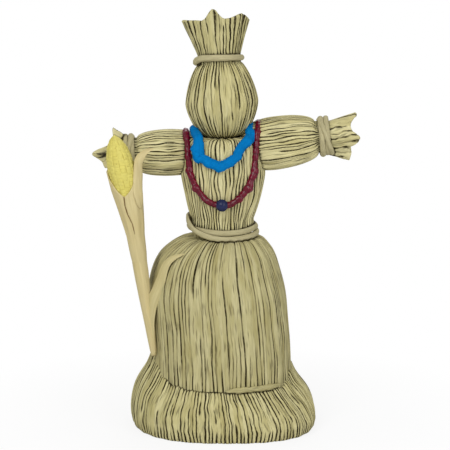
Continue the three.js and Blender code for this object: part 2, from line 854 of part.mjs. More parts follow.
const bob = pendantRadius + clearance - redRadius - strandStandoff;
const redFront = strandCurve(-1, redShape, redDrop, bob);
const redBeads = beaded(redRadius, redPitch, 0.6);
const bare = pendantRadius + clearance + redPitch / 2;
const lowest = redFront.getLengths(200)[100];
const redRadiusAt = (along, length) => {
  const fromLowest = Math.abs(along - lowest);
  return fromLowest < bare ? threadRadius : redBeads(along, length);
};
doll.add(strand("red_strand", redFront, redRadiusAt, redPitch, redColour, 0.35));

// The strands' ends behind the shoulders, which stay on the doll

function napeCurve(shape, drop) {
  const curve = strandCurve(1, shape, drop, 0);
  const gap = clearance;
  const length = curve.getLength();
  const steps = 40;
  const points = [];
  for (let i = 0; i <= steps; i += 1) {
    points.push(curve.getPointAt((gap + ((length - 2 * gap) * i) / steps) / length));
  }
  return new THREE.CatmullRomCurve3(points);
}

const blueBack = napeCurve(blueShape, blueNapeDrop);
doll.add(strand("blue_strand_nape", blueBack, blueBeads, bluePitch, blueColour, 0.6));
const redBack = napeCurve(redShape, redNapeDrop);
doll.add(strand("red_strand_nape", redBack, redBeads, redPitch, redColour, 0.35));

const beadOutline = [];
for (let i = 0; i <= 8; i += 1) {
  const reach = Math.acos(pendantBore / pendantRadius);
  const turn = -reach + (2 * reach * i) / 8;
  beadOutline.push(new THREE.Vector2(pendantRadius * Math.cos(turn), pendantRadius * Math.sin(turn)));
}
beadOutline.push(beadOutline[0]);
const beadBody = turned(beadOutline, 16, () => {});
beadBody.rotateY(Math.PI / 2);
const pendant = named("pendant_bead", beadBody, 0x263051, 0.4);
pendant.position.copy(redFront.getPoint(0.5));
const pendantAxis = redFront.getTangent(0.5);
pendant.quaternion.setFromUnitVectors(new THREE.Vector3(1, 0, 0), pendantAxis);
doll.add(pendant);

// Corn stalk, husk, cob and leaves

function onSkirt(degrees, height, lift) {
  const angle = THREE.MathUtils.degToRad(degrees);
  const skin = readOutline(bell, "y", "x", height);
  const radius = skin * skirtPlan(angle, skin) + lift;
  const x = radius * Math.sin(angle) + hipShift(height);
  return new THREE.Vector3(x, -radius * skirtDepthRatio * Math.cos(angle), height);
}

const foot = onSkirt(stalkFootAngle, stalkFootLevel, stalkFootRadius + 2 * clearance);
const rightHand = armPoint(-1, stalkTopReach);
const handFront = handRimRadius * (1 + handStar) * armDepthRatio * Math.cos(Math.PI / tuftTips);
const wristFront = wristRadius * armDepthRatio + clearance + wristCord;
const huskReach = cobRadius + huskThickness + 2 * clearance;
const grip = rightHand.clone().add(new THREE.Vector3(0, -(Math.max(handFront, wristFront) + huskReach), 0));
const staff = new THREE.Group();
staff.name = "staff";
staff.position.copy(foot);
const lean = grip.clone().sub(foot).normalize();
staff.quaternion.setFromUnitVectors(new THREE.Vector3(0, 0, 1), lean);
doll.add(staff);
staff.updateMatrixWorld(true);

const staffLength = cobBase + cobLength;

// The stalk and its ear bow a little towards the doll
function bowed(point) {
  const share = THREE.MathUtils.clamp(point.z / staffLength, 0, 1);
  point.x += stalkBow * Math.sin(Math.PI * share);
  return point;
}

const stalkOutline = pairs([
  [0, 0],
  [stalkFootRadius, 0],
  [THREE.MathUtils.lerp(stalkFootRadius, stalkRadius, 0.7), stalkLength * 0.3],
  [stalkRadius, stalkLength * 0.6],
  [stalkRadius, stalkLength],
  [0, stalkLength],
]);
const stalkBody = turned(stalkOutline, 14, bowed);
const footLimit = underSkirt.clone().translate(0, 0, clearance * 2);
footLimit.applyMatrix4(staff.matrixWorld.clone().invert());
staff.add(named("corn_stalk", cut(stalkBody, footLimit), huskColour, 0.75));

const cobMiddle = [cobRadius, cobBase + cobLength * 0.48];
const cobLow = arcOutline(cobMiddle, [0, cobBase], 0.9, 7).reverse();
const cobHigh = arcOutline(cobMiddle, [0, cobBase + cobLength], cobTaper, 7);
const cobSkin = [...cobLow, ...cobHigh.slice(1)];
const cobBody = turned(cobSkin, 2 * cobRows, (point, angle, row) => {
  const dent = row % 2 === 0 ? kernelDepth : 0;
  groove(point, angle, cobRows, kernelDepth);
  const radius = Math.hypot(point.x, point.y);
  const scale = radius > 1 ? (radius - dent) / radius : 1;
  point.x *= scale;
  point.y *= scale;
  bowed(point);
});
staff.add(named("corn_cob", cobBody, 0xd8cd6e, 0.6));

const huskFit = stalkRadius + clearance;
const cobFit = cobRadius + clearance;
const huskInner = pairs([
  [huskFit, 0],
  [huskFit, 0.25],
  [THREE.MathUtils.lerp(huskFit, cobFit, 0.7), 0.55],
  [cobFit, 0.8],
  [cobFit, 1],
]);
const huskOuter = huskInner.map((p) => new THREE.Vector2(p.x + huskThickness, p.y));
const huskOutline = [...huskOuter, ...huskInner.reverse(), huskOuter[0]];
const huskBody = turned(huskOutline, 24, (point, angle) => {
  const side = Math.sin(angle) ** 2;
  const rear = Math.cos(angle) < 0 ? huskBackRim : huskFrontRim;
  const rim = THREE.MathUtils.lerp(rear, huskSideRim, side);
  point.z = THREE.MathUtils.lerp(huskBase, rim, point.z);
  bowed(point);
});
staff.add(named("husk_sheath", huskBody, huskColour, 0.75));

// A leaf of the husk stands on its doll side and curls away at the tip
const leafStand = cobFit + huskThickness + clearance + leafThickness / 2;
const huskLeafTurn = THREE.MathUtils.degToRad(huskLeafAngle);
const huskLeafSide = new THREE.Vector3(Math.sin(huskLeafTurn), -Math.cos(huskLeafTurn), 0);
const huskLeafPoints = [];
for (let i = 0; i <= 6; i += 1) {
  const share = i / 6;
  const level = THREE.MathUtils.lerp(huskSideRim - huskLeafRoot, huskSideRim + huskLeafRise, share);
  const curl = huskLeafReach * share ** 4;
  const stand = huskLeafSide.clone().multiplyScalar(leafStand);
  huskLeafPoints.push(bowed(new THREE.Vector3(stand.x + curl, stand.y + curl / 4, level)));
}
const huskLeafCurve = new THREE.CatmullRomCurve3(huskLeafPoints);
const huskLeafWidthAt = (share) => huskLeafWidth * (1 - 0.75 * share ** 2);
const huskLeafFacing = () => new THREE.Vector3(huskLeafSide.x, huskLeafSide.y, 0.2);
const huskLeaf = blade(huskLeafCurve, huskLeafWidthAt, leafThickness, huskLeafFacing, 10);
staff.add(named("husk_leaf", huskLeaf, huskColour, 0.75));

// The side leaf lies on the skirt and goes up with the stalk
const leafLift = clearance * 1.5 + leafThickness / 2;
const stalkLeafPoints = [];
for (let i = 0; i <= 4; i += 1) {
  const share = i / 4;
  const angle = THREE.MathUtils.lerp(stalkLeafFootAngle, stalkLeafTipAngle, share ** 2);
  const level = THREE.MathUtils.lerp(stalkLeafFoot, stalkLeafTip, share);
  stalkLeafPoints.push(onSkirt(angle, level, leafLift));
}
const stalkLeafCurve = new THREE.CatmullRomCurve3(stalkLeafPoints);
const stalkLeafFacing = (share) => {
  const point = stalkLeafCurve.getPointAt(share);
  return new THREE.Vector3(point.x, point.y / skirtDepthRatio ** 2, hemRadius * (0.15 + 0.35 * share));
};
const stalkLeafWidthAt = (share) => stalkLeafWidth * Math.sin(Math.PI * (0.18 + 0.76 * share));
const stalkLeaf = blade(stalkLeafCurve, stalkLeafWidthAt, leafThickness, stalkLeafFacing, 12);
const stalkReach = stalkOutline.map((p) => new THREE.Vector2(p.x && p.x + clearance, p.y));
const stalkLimit = turned(stalkReach, 14, bowed);
stalkLimit.applyMatrix4(staff.matrixWorld);
doll.add(named("stalk_leaf", cut(stalkLeaf, stalkLimit), huskColour, 0.75));

// Middle of a strand's rounded end, which it swings about
function strandEnd(curve, radius, side) {
  const share = radius / curve.getLength();
  return curve.getPointAt(side < 0 ? share : 1 - share);
}

console.log("blue hinge", strandEnd(blueFront, blueRadius, -1), strandEnd(blueFront, blueRadius, 1));
console.log("red hinge", strandEnd(redFront, redRadius, -1), strandEnd(redFront, redRadius, 1));
console.log("pendant", pendant.position, pendantAxis);
console.log("staff foot", foot, "lean", lean);

export default doll;
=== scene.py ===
"""Looks of a standing corn dolly: straw bundles, husk tufts, twine, bead strands and an ear of corn."""

import json
import logging
import math
from collections.abc import Callable
from dataclasses import dataclass, field
from enum import Enum

import bpy
import numpy as np
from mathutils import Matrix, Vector
from mathutils.bvhtree import BVHTree


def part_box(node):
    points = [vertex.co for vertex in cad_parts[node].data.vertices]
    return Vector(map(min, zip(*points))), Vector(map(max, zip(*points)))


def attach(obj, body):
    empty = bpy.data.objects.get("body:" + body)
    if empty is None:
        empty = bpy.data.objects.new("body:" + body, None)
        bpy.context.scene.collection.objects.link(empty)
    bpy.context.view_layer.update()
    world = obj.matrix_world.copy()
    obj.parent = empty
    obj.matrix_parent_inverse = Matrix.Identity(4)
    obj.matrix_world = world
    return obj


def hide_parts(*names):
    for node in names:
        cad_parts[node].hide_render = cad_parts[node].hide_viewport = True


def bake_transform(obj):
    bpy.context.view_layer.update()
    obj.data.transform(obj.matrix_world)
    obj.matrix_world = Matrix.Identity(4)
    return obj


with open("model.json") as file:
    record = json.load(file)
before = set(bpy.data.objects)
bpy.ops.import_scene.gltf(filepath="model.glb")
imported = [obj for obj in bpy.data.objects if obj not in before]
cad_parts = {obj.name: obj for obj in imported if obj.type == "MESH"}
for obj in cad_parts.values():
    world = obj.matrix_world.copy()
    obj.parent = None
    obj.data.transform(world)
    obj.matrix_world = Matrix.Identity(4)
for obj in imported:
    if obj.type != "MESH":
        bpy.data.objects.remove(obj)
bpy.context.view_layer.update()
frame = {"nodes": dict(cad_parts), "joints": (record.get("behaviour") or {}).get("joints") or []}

LOG = logging.getLogger("corn_dolly")
MM = 0.001
FULL_TURN = 2 * math.pi
LEVEL_PART = np.array([1, 1, 0])
TINY = 1e-9
Array = np.ndarray
Surface = Callable[[Array, Array], Array]
Colour = tuple[float, float, float]
Table = tuple[tuple[float, ...], ...]
Pair = tuple[float, float]
Triple = tuple[float, float, float]
Piece = bpy.types.Object
Socket = bpy.types.NodeSocket
Source = np.random.Generator


class Side(Enum):
    """The doll's own sides, with the sign of their X."""

    RIGHT = -1
    LEFT = 1


class Body(Enum):
    """Bodies that the pieces ride on."""

    DOLL = "doll"
    STAFF = "staff"
    BLUE = "blue_necklace"
    RED = "red_necklace"
    PENDANT = "pendant"


# Curves and relief

ARC_POINTS = 60
ROUTE_POINTS = 24
WAVE_WEIGHTS = (0.5, 0.3, 0.2)


def held(value: Array) -> Array:
    """Value held between 0 and 1."""
    return np.clip(value, 0, 1)


def ease(value: Array) -> Array:
    """Smooth step from 0 to 1."""
    share = held(value)
    return share * share * (3 - 2 * share)


def valley(value: Array) -> Array:
    """Depth of a groove, from 1 at its middle to 0 at its edge."""
    return 1 - ease(value)


def hump(value: Array, middle: float, spread: float) -> Array:
    """Rounded hump of height 1 about a middle."""
    return np.exp(-(((value - middle) / spread) ** 2))


def rounded(value: Array, shape: Triple) -> Array:
    """Rounded hump from its height, its middle and its spread."""
    return shape[0] * hump(value, *shape[1:])


def read_off(table: Table, place: Array) -> Array:
    """Value at each place, straight between the rows of a table of places and values."""
    return np.interp(place, *np.array(table).T)


def turned_from(angle: Array, middle: float) -> Array:
    """Degrees from a middle, the short way round."""
    return (angle - middle + 180) % 360 - 180


def waves(rng: Source, count: int, rows: Array, cycles: Pair = (0.5, 3)) -> Array:
    """Makes smooth random curves along the rows.

    Args:
        rng: Seeded source of the curves.
        count: How many curves.
        rows: Places along the rows, from 0 to 1.
        cycles: Fewest and most waves along the rows.

    Returns:
        Values between -1 and 1, one row for each place and one column for each curve.
    """
    total = np.zeros((len(rows), count))
    for weight in WAVE_WEIGHTS:
        pace = rng.uniform(*cycles, count)
        start = rng.uniform(0, FULL_TURN, count)
        total += weight * np.sin(FULL_TURN * rows[:, None] * pace + start)
    return total


def arc(wide: Pair, end: Pair, squareness: float) -> Array:
    """Outline from the widest point of a bundle to one of its ends.

    Args:
        wide: Radius and height of the widest point.
        end: Radius and height of the end.
        squareness: Power of the arc; below 1 is squarer than a circle.

    Returns:
        Radius and height of each point.
    """
    turn = np.linspace(0, math.pi / 2, ARC_POINTS)
    across = np.maximum(0, np.cos(turn)) ** squareness
    along = np.sin(turn) ** squareness
    radius = end[0] + (wide[0] - end[0]) * across
    height = wide[1] + (end[1] - wide[1]) * along
    return np.stack([radius, height], axis=1)


@dataclass(frozen=True)
class Profile:
    """An outline that is walked evenly along its length."""

    points: Array

    @property
    def walked(self) -> Array:
        """Length from the start to each point."""
        steps = np.linalg.norm(np.diff(self.points, axis=0), axis=1)
        return np.concatenate([[0], np.cumsum(steps)])

    def at(self, share: Array) -> tuple[Array, Array]:
        """Radius and height at each share of the length.

        Args:
            share: Places from 0 to 1.

        Returns:
            Radius and height, each in the shape of the shares.
        """
        walked = self.walked
        place = held(share) * walked[-1]
        return np.interp(place, walked, self.points[:, 0]), np.interp(place, walked, self.points[:, 1])


def smooth_route(points: Array, steps: int, loop: bool = False) -> Array:
    """Runs an even Catmull-Rom curve through points.

    Args:
        points: Points to pass through.
        steps: How many points to return.
        loop: Whether the curve closes on itself.

    Returns:
        Evenly spaced points on the curve.
    """
    if loop:
        padded = np.concatenate([points[-1:], points, points[:2]])
    else:
        first, last = 2 * points[0] - points[1], 2 * points[-1] - points[-2]
        padded = np.concatenate([first[None], points, last[None]])
    fine = []
    share = np.linspace(0, 1, ROUTE_POINTS, endpoint=False)[:, None]
    for a, b, c, d in zip(padded[:-3], padded[1:-2], padded[2:-1], padded[3:]):
        cubic = (-a + 3 * b - 3 * c + d) * share**3
        square = (2 * a - 5 * b + 4 * c - d) * share**2
        fine.append(0.5 * (cubic + square + (c - a) * share + 2 * b))
    walk = np.concatenate([*fine, padded[-2:-1]])
    walked = Profile(walk).walked
    place = np.linspace(0, walked[-1], steps, endpoint=not loop)
    return np.stack([np.interp(place, walked, walk[:, axis]) for axis in range(3)], axis=1)


def angles_round(sides: int) -> Array:
    """Evenly spaced angles round a section, in radians."""
    return np.linspace(0, FULL_TURN, sides, endpoint=False)


def oval(radius: Array, ratio: float | Array, angle: Array, level: Array) -> Array:
    """Point of an oval ring about +Z, whose depth is a share of its width."""
    return np.stack([radius * np.sin(angle), -radius * ratio * np.cos(angle), level], axis=-1)


def uneven_rows(split: float, before: int, after: int) -> Array:
    """Shares of a length, with their own spacing before and after a split."""
    return np.concatenate([np.linspace(0, split, before, endpoint=False), np.linspace(split, 1, after)])


# Meshes

# A plain piece: straw widths of grain round it, range of its grain's own place, and its shades
GRAIN_ROUND = 6
GRAIN_RANGE = 50
TONE_MEAN = 0.5
TONE_SWING = 0.35


@dataclass
class Patch:
    """A grid of points that closes round its columns, with the paint of each point.

    Attributes:
        points: Grid of points, in millimetres, whose rows run along the piece.
        wash_and_shade: Dark wash and painted shade in the grooves and where pieces meet, from 0 to 1.
        tone: Shade of each straw, from pale at 0 to warm at 1.
        grain: Place across and along the straws, and the piece's own number.
        loop: Whether the rows close on themselves too.
    """

    points: Array
    wash_and_shade: Array
    tone: Array
    grain: Array
    loop: bool = False

    @classmethod
    def plain(cls, points: Array, rng: Source, wash_and_shade: Array | None = None, loop: bool = False) -> "Patch":
        """Patch with one shade and with grain along its rows.

        Args:
            points: Grid of points.
            rng: Seeded source of the shade.
            wash_and_shade: Dark wash and painted shade, or none.
            loop: Whether the rows close on themselves too.

        Returns:
            The patch.
        """
        rows, columns = points.shape[:2]
        grain = np.zeros((rows, columns, 3))
        grain[..., 0] = np.linspace(0, GRAIN_ROUND, columns)[None]
        grain[..., 1] = Profile(points[:, 0]).walked[:, None]
        grain[..., 2] = rng.uniform(0, GRAIN_RANGE)
        tone = TONE_MEAN + TONE_SWING * waves(rng, columns, np.linspace(0, 1, rows))
        return cls(points, np.zeros((rows, columns)) if wash_and_shade is None else wash_and_shade, tone, grain, loop)

    def faces(self, first: int) -> list[list[int]]:
        """Faces of the grid, with a fan over each open end.

        Args:
            first: Index of the patch's first point in its mesh.

        Returns:
            Lists of point indices, the fans' middles last.
        """
        rows, columns = self.wash_and_shade.shape
        index = first + np.arange(rows * columns).reshape(rows, columns)
        if self.loop:
            index = np.concatenate([index, index[:1]])
        after = np.roll(index, -1, axis=1)
        quads = np.stack([index[:-1], after[:-1], after[1:], index[1:]], axis=-1).reshape(-1, 4).tolist()
        if self.loop:
            return quads
        low, high = first + rows * columns, first + rows * columns + 1
        quads += [[low, b, a] for a, b in zip(index[0].tolist(), after[0].tolist())]
        quads += [[high, a, b] for a, b in zip(index[-1].tolist(), after[-1].tolist())]
        return quads

    def flat(self, values: Array) -> Array:
        """Lists a value of each point in mesh order.

        Args:
            values: Grid of values.

        Returns:
            One row for each point, with the means of the end rows for the fans' middles.
        """
        listed = values.reshape(self.wash_and_shade.size, -1)
        if self.loop:
            return listed
        rows = values.reshape(*self.wash_and_shade.shape, -1)
        return np.concatenate([listed, rows[0].mean(0)[None], rows[-1].mean(0)[None]])


def make_piece(name: str, patches: list[Patch]) -> Piece:
    """Builds one object from patches.

    Args:
        name: Name of the piece.
        patches: Its closed patches.

    Returns:
        The new object, in metres.
    """
    points, faces, wash_and_shade, tone, grain = [], [], [], [], []
    count = 0
    for patch in patches:
        faces += patch.faces(count)
        points.append(patch.flat(patch.points))
        wash_and_shade.append(patch.flat(patch.wash_and_shade))
        tone.append(patch.flat(patch.tone))
        grain.append(patch.flat(patch.grain))
        count += len(points[-1])
    mesh = bpy.data.meshes.new(name)
    mesh.from_pydata((np.concatenate(points) * MM).tolist(), [], faces)
    mesh.polygons.foreach_set("use_smooth", [True] * len(mesh.polygons))
    for key, values in (("wash_and_shade", wash_and_shade), ("tone", tone)):
        paint = mesh.attributes.new(key, "FLOAT", "POINT")
        paint.data.foreach_set("value", np.concatenate(values).ravel().astype(np.float32))
    lay = mesh.attributes.new("grain", "FLOAT_VECTOR", "POINT")
    lay.data.foreach_set("vector", np.concatenate(grain).ravel().astype(np.float32))
    mesh.update()
    piece = bpy.data.objects.new(name, mesh)
    bpy.context.scene.collection.objects.link(piece)
    return piece


# Straws: places of the points across one straw, and the widths of a groove and of the dark wash and painted
# shade along it, in straw widths
STRAW_PLACES = np.array([0, 0.07, 0.15, 0.29, 0.5, 0.71, 0.85, 0.93])
GROOVE_WIDTH = 0.2
WASH_AND_SHADE_WIDTH = 0.3
# How far a groove is set off from even spacing, in straw widths, and its fine unsteadiness
RIB_OFFSET = 0.1
STRAW_OFFSET = 0.27
UNSTEADY = 0.35
UNSTEADY_CYCLES = (5, 12)
# How much a straw's height and shade change along it
PROUD_SWING = 0.4
SHADE_SWING = 0.2
SHADE_CYCLES = (1, 6)
# Depth of the grooves, as shares of the full depth, and the grooves that run for only a part of the length
RIB_STRENGTH = (0.6, 1)
STRAW_STRENGTH = (0.3, 0.85)
END_STRENGTH = (0.4, 1)
DEEPEST = 1.1
RUN_MEAN = 0.75
RUN_SWING = 0.35
RUN_CYCLES = (1, 5)
SHORT_HALF = (0.08, 0.4)
SHORT_FADE = 0.1
SHORT_RIBS = 0.3
# Bends that neighbours share: waves round the bundle and along it, and the step to their own seed
SHARED_BENDS = ((3, 1.3), (7, 2.2), (11, 3.4))
BEND_SEED = 500


@dataclass(frozen=True)
class StrawField:
    """Straws laid side by side round a bundle, with the grooves between them and dark wash and painted shade
    in the grooves.

    Attributes:
        ribs: How many thick ribs the bundle shows.
        split: How many straws make one rib.
        depth: Depth of the deepest grooves.
        seed: Seed of the bundle's own randomness.
        partial: Share of the finer grooves that run for only a part of the length.
        wander: How far a groove strays, in straw widths.
        crown: How far a straw's middle stands proud.
        lift: How far the proudest straws stand out.
        near: Extra groove depth, and with it more dark wash and painted shade, at the first and last rows.
        ragged: Longest cut of a straw's first and last ends, in shares of the length.
        hollow: Depth of the broad hollow between two ribs.
        fringe: Share of the length that the extra depth at an end reaches over.
        groove_wash_and_shade: Strength of the dark wash and painted shade in the grooves.
        smooth: Share of the relief that is lost at the first and last rows.
        sway: How far neighbouring straws bend together, in straw widths.
    """

    ribs: int
    split: int
    depth: float
    seed: int
    partial: float = 0.6
    wander: float = 0.14
    crown: float = 0.1
    lift: float = 0.16
    near: Pair = (0.3, 0.3)
    ragged: Pair = (0, 0)
    hollow: float = 0.45
    fringe: float = 0.14
    groove_wash_and_shade: float = 1.4
    smooth: Pair = (0, 0)
    sway: float = 0.1

    @property
    def count(self) -> int:
        """How many straws lie round the bundle."""
        return self.ribs * self.split

    @property
    def leads(self) -> Array:
        """Whether each groove parts two ribs."""
        return np.arange(self.count) % self.split == 0

    def lay(self, surface: Surface, rows: Array, length: float) -> Patch:
        """Lays the straws on a surface.

        Args:
            surface: Point for each turn round the bundle and share of its length.
            rows: Shares of the length, from 0 to 1.
            length: Length of the straws.

        Returns:
            The bundle's patch.
        """
        rng = np.random.default_rng(self.seed)
        across = STRAW_PLACES
        offset = np.where(self.leads, RIB_OFFSET, STRAW_OFFSET)
        place = np.arange(self.count) + rng.uniform(-1, 1, self.count) * offset
        stray = waves(rng, self.count, rows) + UNSTEADY * waves(rng, self.count, rows, UNSTEADY_CYCLES)
        edge = (place + self.wander * stray + self.sway * self.bends(place, rows)) / self.count
        edge = edge + 0.5 + 0.5 / self.ribs
        after = np.concatenate([edge[:, 1:], edge[:, :1] + 1], axis=1)
        deep = self.groove_depth(rng, rows)
        beside = np.roll(deep, -1, axis=1)
        turn = edge[..., None] + (after - edge)[..., None] * across
        # The second is the dark wash and painted shade along each groove, a little wider than the groove
        # itself
        pit, stain_and_shade = (
            deep[..., None] * valley(across / width) + beside[..., None] * valley((1 - across) / width)
            for width in (GROOVE_WIDTH, WASH_AND_SHADE_WIDTH)
        )
        proud = rng.uniform(0, 1, self.count) * (1 + PROUD_SWING * waves(rng, self.count, rows))
        body = np.sqrt(4 * across * (1 - across))
        relief = -self.depth * pit + self.crown * body + self.lift * proud[..., None] * ease(body * 1.1)
        relief = relief - self.hollow * (0.5 - 0.5 * np.cos(FULL_TURN * self.ribs * turn))
        relief = relief * (1 - self.at_ends(self.smooth, rows))[:, None, None]
        shade = rng.uniform(0, 1, self.count) + SHADE_SWING * waves(rng, self.count, rows, SHADE_CYCLES)
        cut = rng.uniform(0, 1, (2, self.count)) * np.array(self.ragged)[:, None]
        share = cut[0] + (1 - cut[0] - cut[1]) * rows[:, None]
        shape = (len(rows), self.count * len(across))
        turn, relief, stain_and_shade = turn.reshape(shape), relief.reshape(shape), stain_and_shade.reshape(shape)
        share = np.repeat(share, len(across), axis=1)
        grain = np.zeros((*shape, 3))
        grain[..., 0] = (np.arange(self.count)[:, None] + across).reshape(-1)
        grain[..., 1] = share * length
        grain[..., 2] = self.seed
        points = lift_off(surface, turn, share, relief)
        return Patch(points, held(self.groove_wash_and_shade * stain_and_shade), np.repeat(shade, len(across), axis=1), grain)

    def bends(self, place: Array, rows: Array) -> Array:
        """Bends that neighbouring straws share.

        Args:
            place: Place of each straw round the bundle.
            rows: Shares of the length.

        Returns:
            One row for each share and one column for each straw.
        """
        rng = np.random.default_rng(self.seed + BEND_SEED)
        total = np.zeros((len(rows), self.count))
        for lobes, beats in SHARED_BENDS:
            first, second = rng.uniform(0, FULL_TURN, 2)
            round_ = np.sin(FULL_TURN * lobes * place / self.count + first)
            total += round_ * np.sin(FULL_TURN * beats * rows + second)[:, None]
        return total

    def at_ends(self, amounts: Pair, rows: Array) -> Array:
        """Amounts at the first and last rows that fade out over the fringe."""
        return amounts[0] * valley(rows / self.fringe) + amounts[1] * valley((1 - rows) / self.fringe)

    def groove_depth(self, rng: Source, rows: Array) -> Array:
        """Share of the full depth of each groove along the rows.

        Args:
            rng: Seeded source.
            rows: Shares of the length.

        Returns:
            One row for each share and one column for each groove.
        """
        ribs, straws = rng.uniform(*RIB_STRENGTH, self.count), rng.uniform(*STRAW_STRENGTH, self.count)
        strength = np.where(self.leads, ribs, straws)
        middle, half = rng.uniform(0, 1, self.count), rng.uniform(*SHORT_HALF, self.count)
        window = ease((half - np.abs(rows[:, None] - middle)) / SHORT_FADE)
        short = rng.uniform(size=self.count) < np.where(self.leads, SHORT_RIBS, self.partial)
        run = np.where(short, window, 1) * (RUN_MEAN + RUN_SWING * waves(rng, self.count, rows, RUN_CYCLES))
        ends = self.at_ends(self.near, rows)
        return np.clip(strength * run + ends[:, None] * rng.uniform(*END_STRENGTH, self.count), 0, DEEPEST)


def lift_off(surface: Surface, turn: Array, share: Array, relief: Array) -> Array:
    """Points of a surface, moved out along its normals.

    Args:
        surface: Point for each turn and share.
        turn: Turns round the bundle.
        share: Shares of its length.
        relief: Distance to move each point.

    Returns:
        The moved points.
    """
    step = 1e-3
    round_ = surface(turn + step, share) - surface(turn - step, share)
    along = surface(turn, np.minimum(share + step, 1)) - surface(turn, np.maximum(share - step, 0))
    normal = np.cross(round_, along)
    length = np.linalg.norm(normal, axis=-1, keepdims=True)
    return surface(turn, share) + normal / np.maximum(length, TINY) * relief[..., None]


def tube(route: Array, radius: Array, sides: int, flat: float = 1, toward: Array | None = None) -> Array:
    """Sweeps a round or oval section along a route.

    Args:
        route: Points of the middle line.
        radius: Radius for each point, or for each point and side.
        sides: Points round the section.
        flat: Thickness of the section towards its facing, as a share of its width.
        toward: Direction that the section faces at each point; a steady frame if none.

    Returns:
        Grid of points, one row for each point of the route.
    """
    tangent = np.gradient(route, axis=0)
    tangent /= np.linalg.norm(tangent, axis=1, keepdims=True)
    if toward is None:
        toward = steady_normals(tangent)
    facing = toward - tangent * np.sum(toward * tangent, axis=1, keepdims=True)
    facing /= np.linalg.norm(facing, axis=1, keepdims=True)
    beside = np.cross(tangent, facing)
    turn = angles_round(sides)
    reach = radius if radius.ndim == 2 else radius[:, None]
    out = facing[:, None] * (np.cos(turn) * flat)[None, :, None]
    out = out + beside[:, None] * np.sin(turn)[None, :, None]
    return route[:, None] + out * reach[..., None]


def steady_normals(tangent: Array) -> Array:
    """Directions square to a route that turn as little as they can along it.

    Args:
        tangent: Unit direction of the route at each point.

    Returns:
        One direction for each point.
    """
    steep = 0.9
    start = np.array([0.0, 0.0, 1.0]) if abs(tangent[0, 2]) < steep else np.array([1.0, 0.0, 0.0])
    normals = [start - tangent[0] * start.dot(tangent[0])]
    for direction in tangent[1:]:
        moved = normals[-1] - direction * normals[-1].dot(direction)
        normals.append(moved / np.linalg.norm(moved))
    return np.array(normals)


# Finishes


class NodeBench:
    """Lays out the nodes of one material or of the world."""

    def __init__(self, owner: bpy.types.Material | bpy.types.World) -> None:
        """Empties the owner's node tree.

        Args:
            owner: The material or the world.
        """
        owner.use_nodes = True
        self.owner = owner
        self.nodes = owner.node_tree.nodes
        self.nodes.clear()

    def add(self, kind: str, inputs: dict[str, object] | None = None, **settings: object) -> bpy.types.Node:
        """Adds a node and sets its properties and inputs.

        Args:
            kind: Type of the node, without its prefix.
            inputs: Names of its inputs and their values, or none.
            settings: Properties of the node and their values.

        Returns:
            The new node.
        """
        node = self.nodes.new(f"ShaderNode{kind}")
        for key, value in settings.items():
            setattr(node, key, value)
        for key, value in (inputs or {}).items():
            node.inputs[key].default_value = value
        return node

    def link(self, source: Socket, target: Socket) -> None:
        """Joins two sockets."""
        self.owner.node_tree.links.new(source, target)

    def paint(self, name: str) -> bpy.types.Node:
        """Node that reads a mesh attribute."""
        return self.add("Attribute", attribute_name=name, attribute_type="GEOMETRY")

    def noise(self, vector: Socket, scale: Triple, detail: float) -> Socket:
        """Noise over a stretched vector.

        Args:
            vector: Socket that gives the place.
            scale: Scale along each axis.
            detail: Octaves of the noise.

        Returns:
            Socket with the noise's value.
        """
        stretch = self.add("Mapping", {"Scale": scale})
        self.link(vector, stretch.inputs["Vector"])
        noise = self.add("TexNoise", {"Scale": 1, "Detail": detail}, noise_dimensions="3D")
        self.link(stretch.outputs["Vector"], noise.inputs["Vector"])
        return noise.outputs["Fac"]

    def span(self, value: Socket, low: Pair, high: Pair) -> Socket:
        """Maps a value from one range to another.

        Args:
            value: Socket with the value.
            low: Value, and what it becomes, at the low end.
            high: Value, and what it becomes, at the high end.

        Returns:
            Socket with the mapped value.
        """
        ends = {"From Min": low[0], "To Min": low[1], "From Max": high[0], "To Max": high[1]}
        node = self.add("MapRange", ends, clamp=True)
        self.link(value, node.inputs["Value"])
        return node.outputs["Result"]

    def mix(self, share: Socket, first: object, second: object) -> Socket:
        """Mixes two colours.

        Args:
            share: Socket with the share of the second.
            first: A socket or a fixed colour.
            second: A socket or a fixed colour.

        Returns:
            Socket with the mixed colour.
        """
        node = self.add("Mix", data_type="RGBA")
        self.link(share, node.inputs[0])
        for value, target in ((first, node.inputs[6]), (second, node.inputs[7])):
            if isinstance(value, tuple):
                target.default_value = (*value, 1)
            else:
                self.link(value, target)
        return node.outputs[2]

    def reckon(self, operation: str, first: Socket, second: Socket, clamp: bool = False) -> Socket:
        """Reckons with two values.

        Args:
            operation: What to do with them.
            first: Socket with the first value.
            second: Socket with the second value.
            clamp: Whether the result is held between 0 and 1.

        Returns:
            Socket with the result.
        """
        node = self.add("Math", operation=operation, use_clamp=clamp)
        self.link(first, node.inputs[0])
        self.link(second, node.inputs[1])
        return node.outputs[0]


def srgb(red: int, green: int, blue: int) -> Colour:
    """Linear colour of an sRGB one written in whole numbers to 255."""
    shares = (value / 255 for value in (red, green, blue))
    return tuple(v / 12.92 if v <= 0.04045 else ((v + 0.055) / 1.055) ** 2.4 for v in shares)


# Scales of the noises across and along the straws; the specks' one is for each metre
BLOTCH_SCALE = (0.55, 0.07, 1)
HAIR_SCALE = (2.6, 0.11, 1)
SPECK_SCALE = (900, 900, 500)
# Values of the noises between which streaks, stains and fine lines fade in, and those of the specks with the
# shares of the dark wash and painted shade that they leave
STREAK_SPAN = (0.35, 0.62)
BLOTCH_SPAN = (0.46, 0.72)
HAIR_SPAN = (0.57, 0.68)
THIN_WASH_AND_SHADE = (0.32, 0.65)
FULL_WASH_AND_SHADE = (0.52, 1.1)
WASH_AND_SHADE_START = 0.12
COAT_ROUGHNESS = 0.12


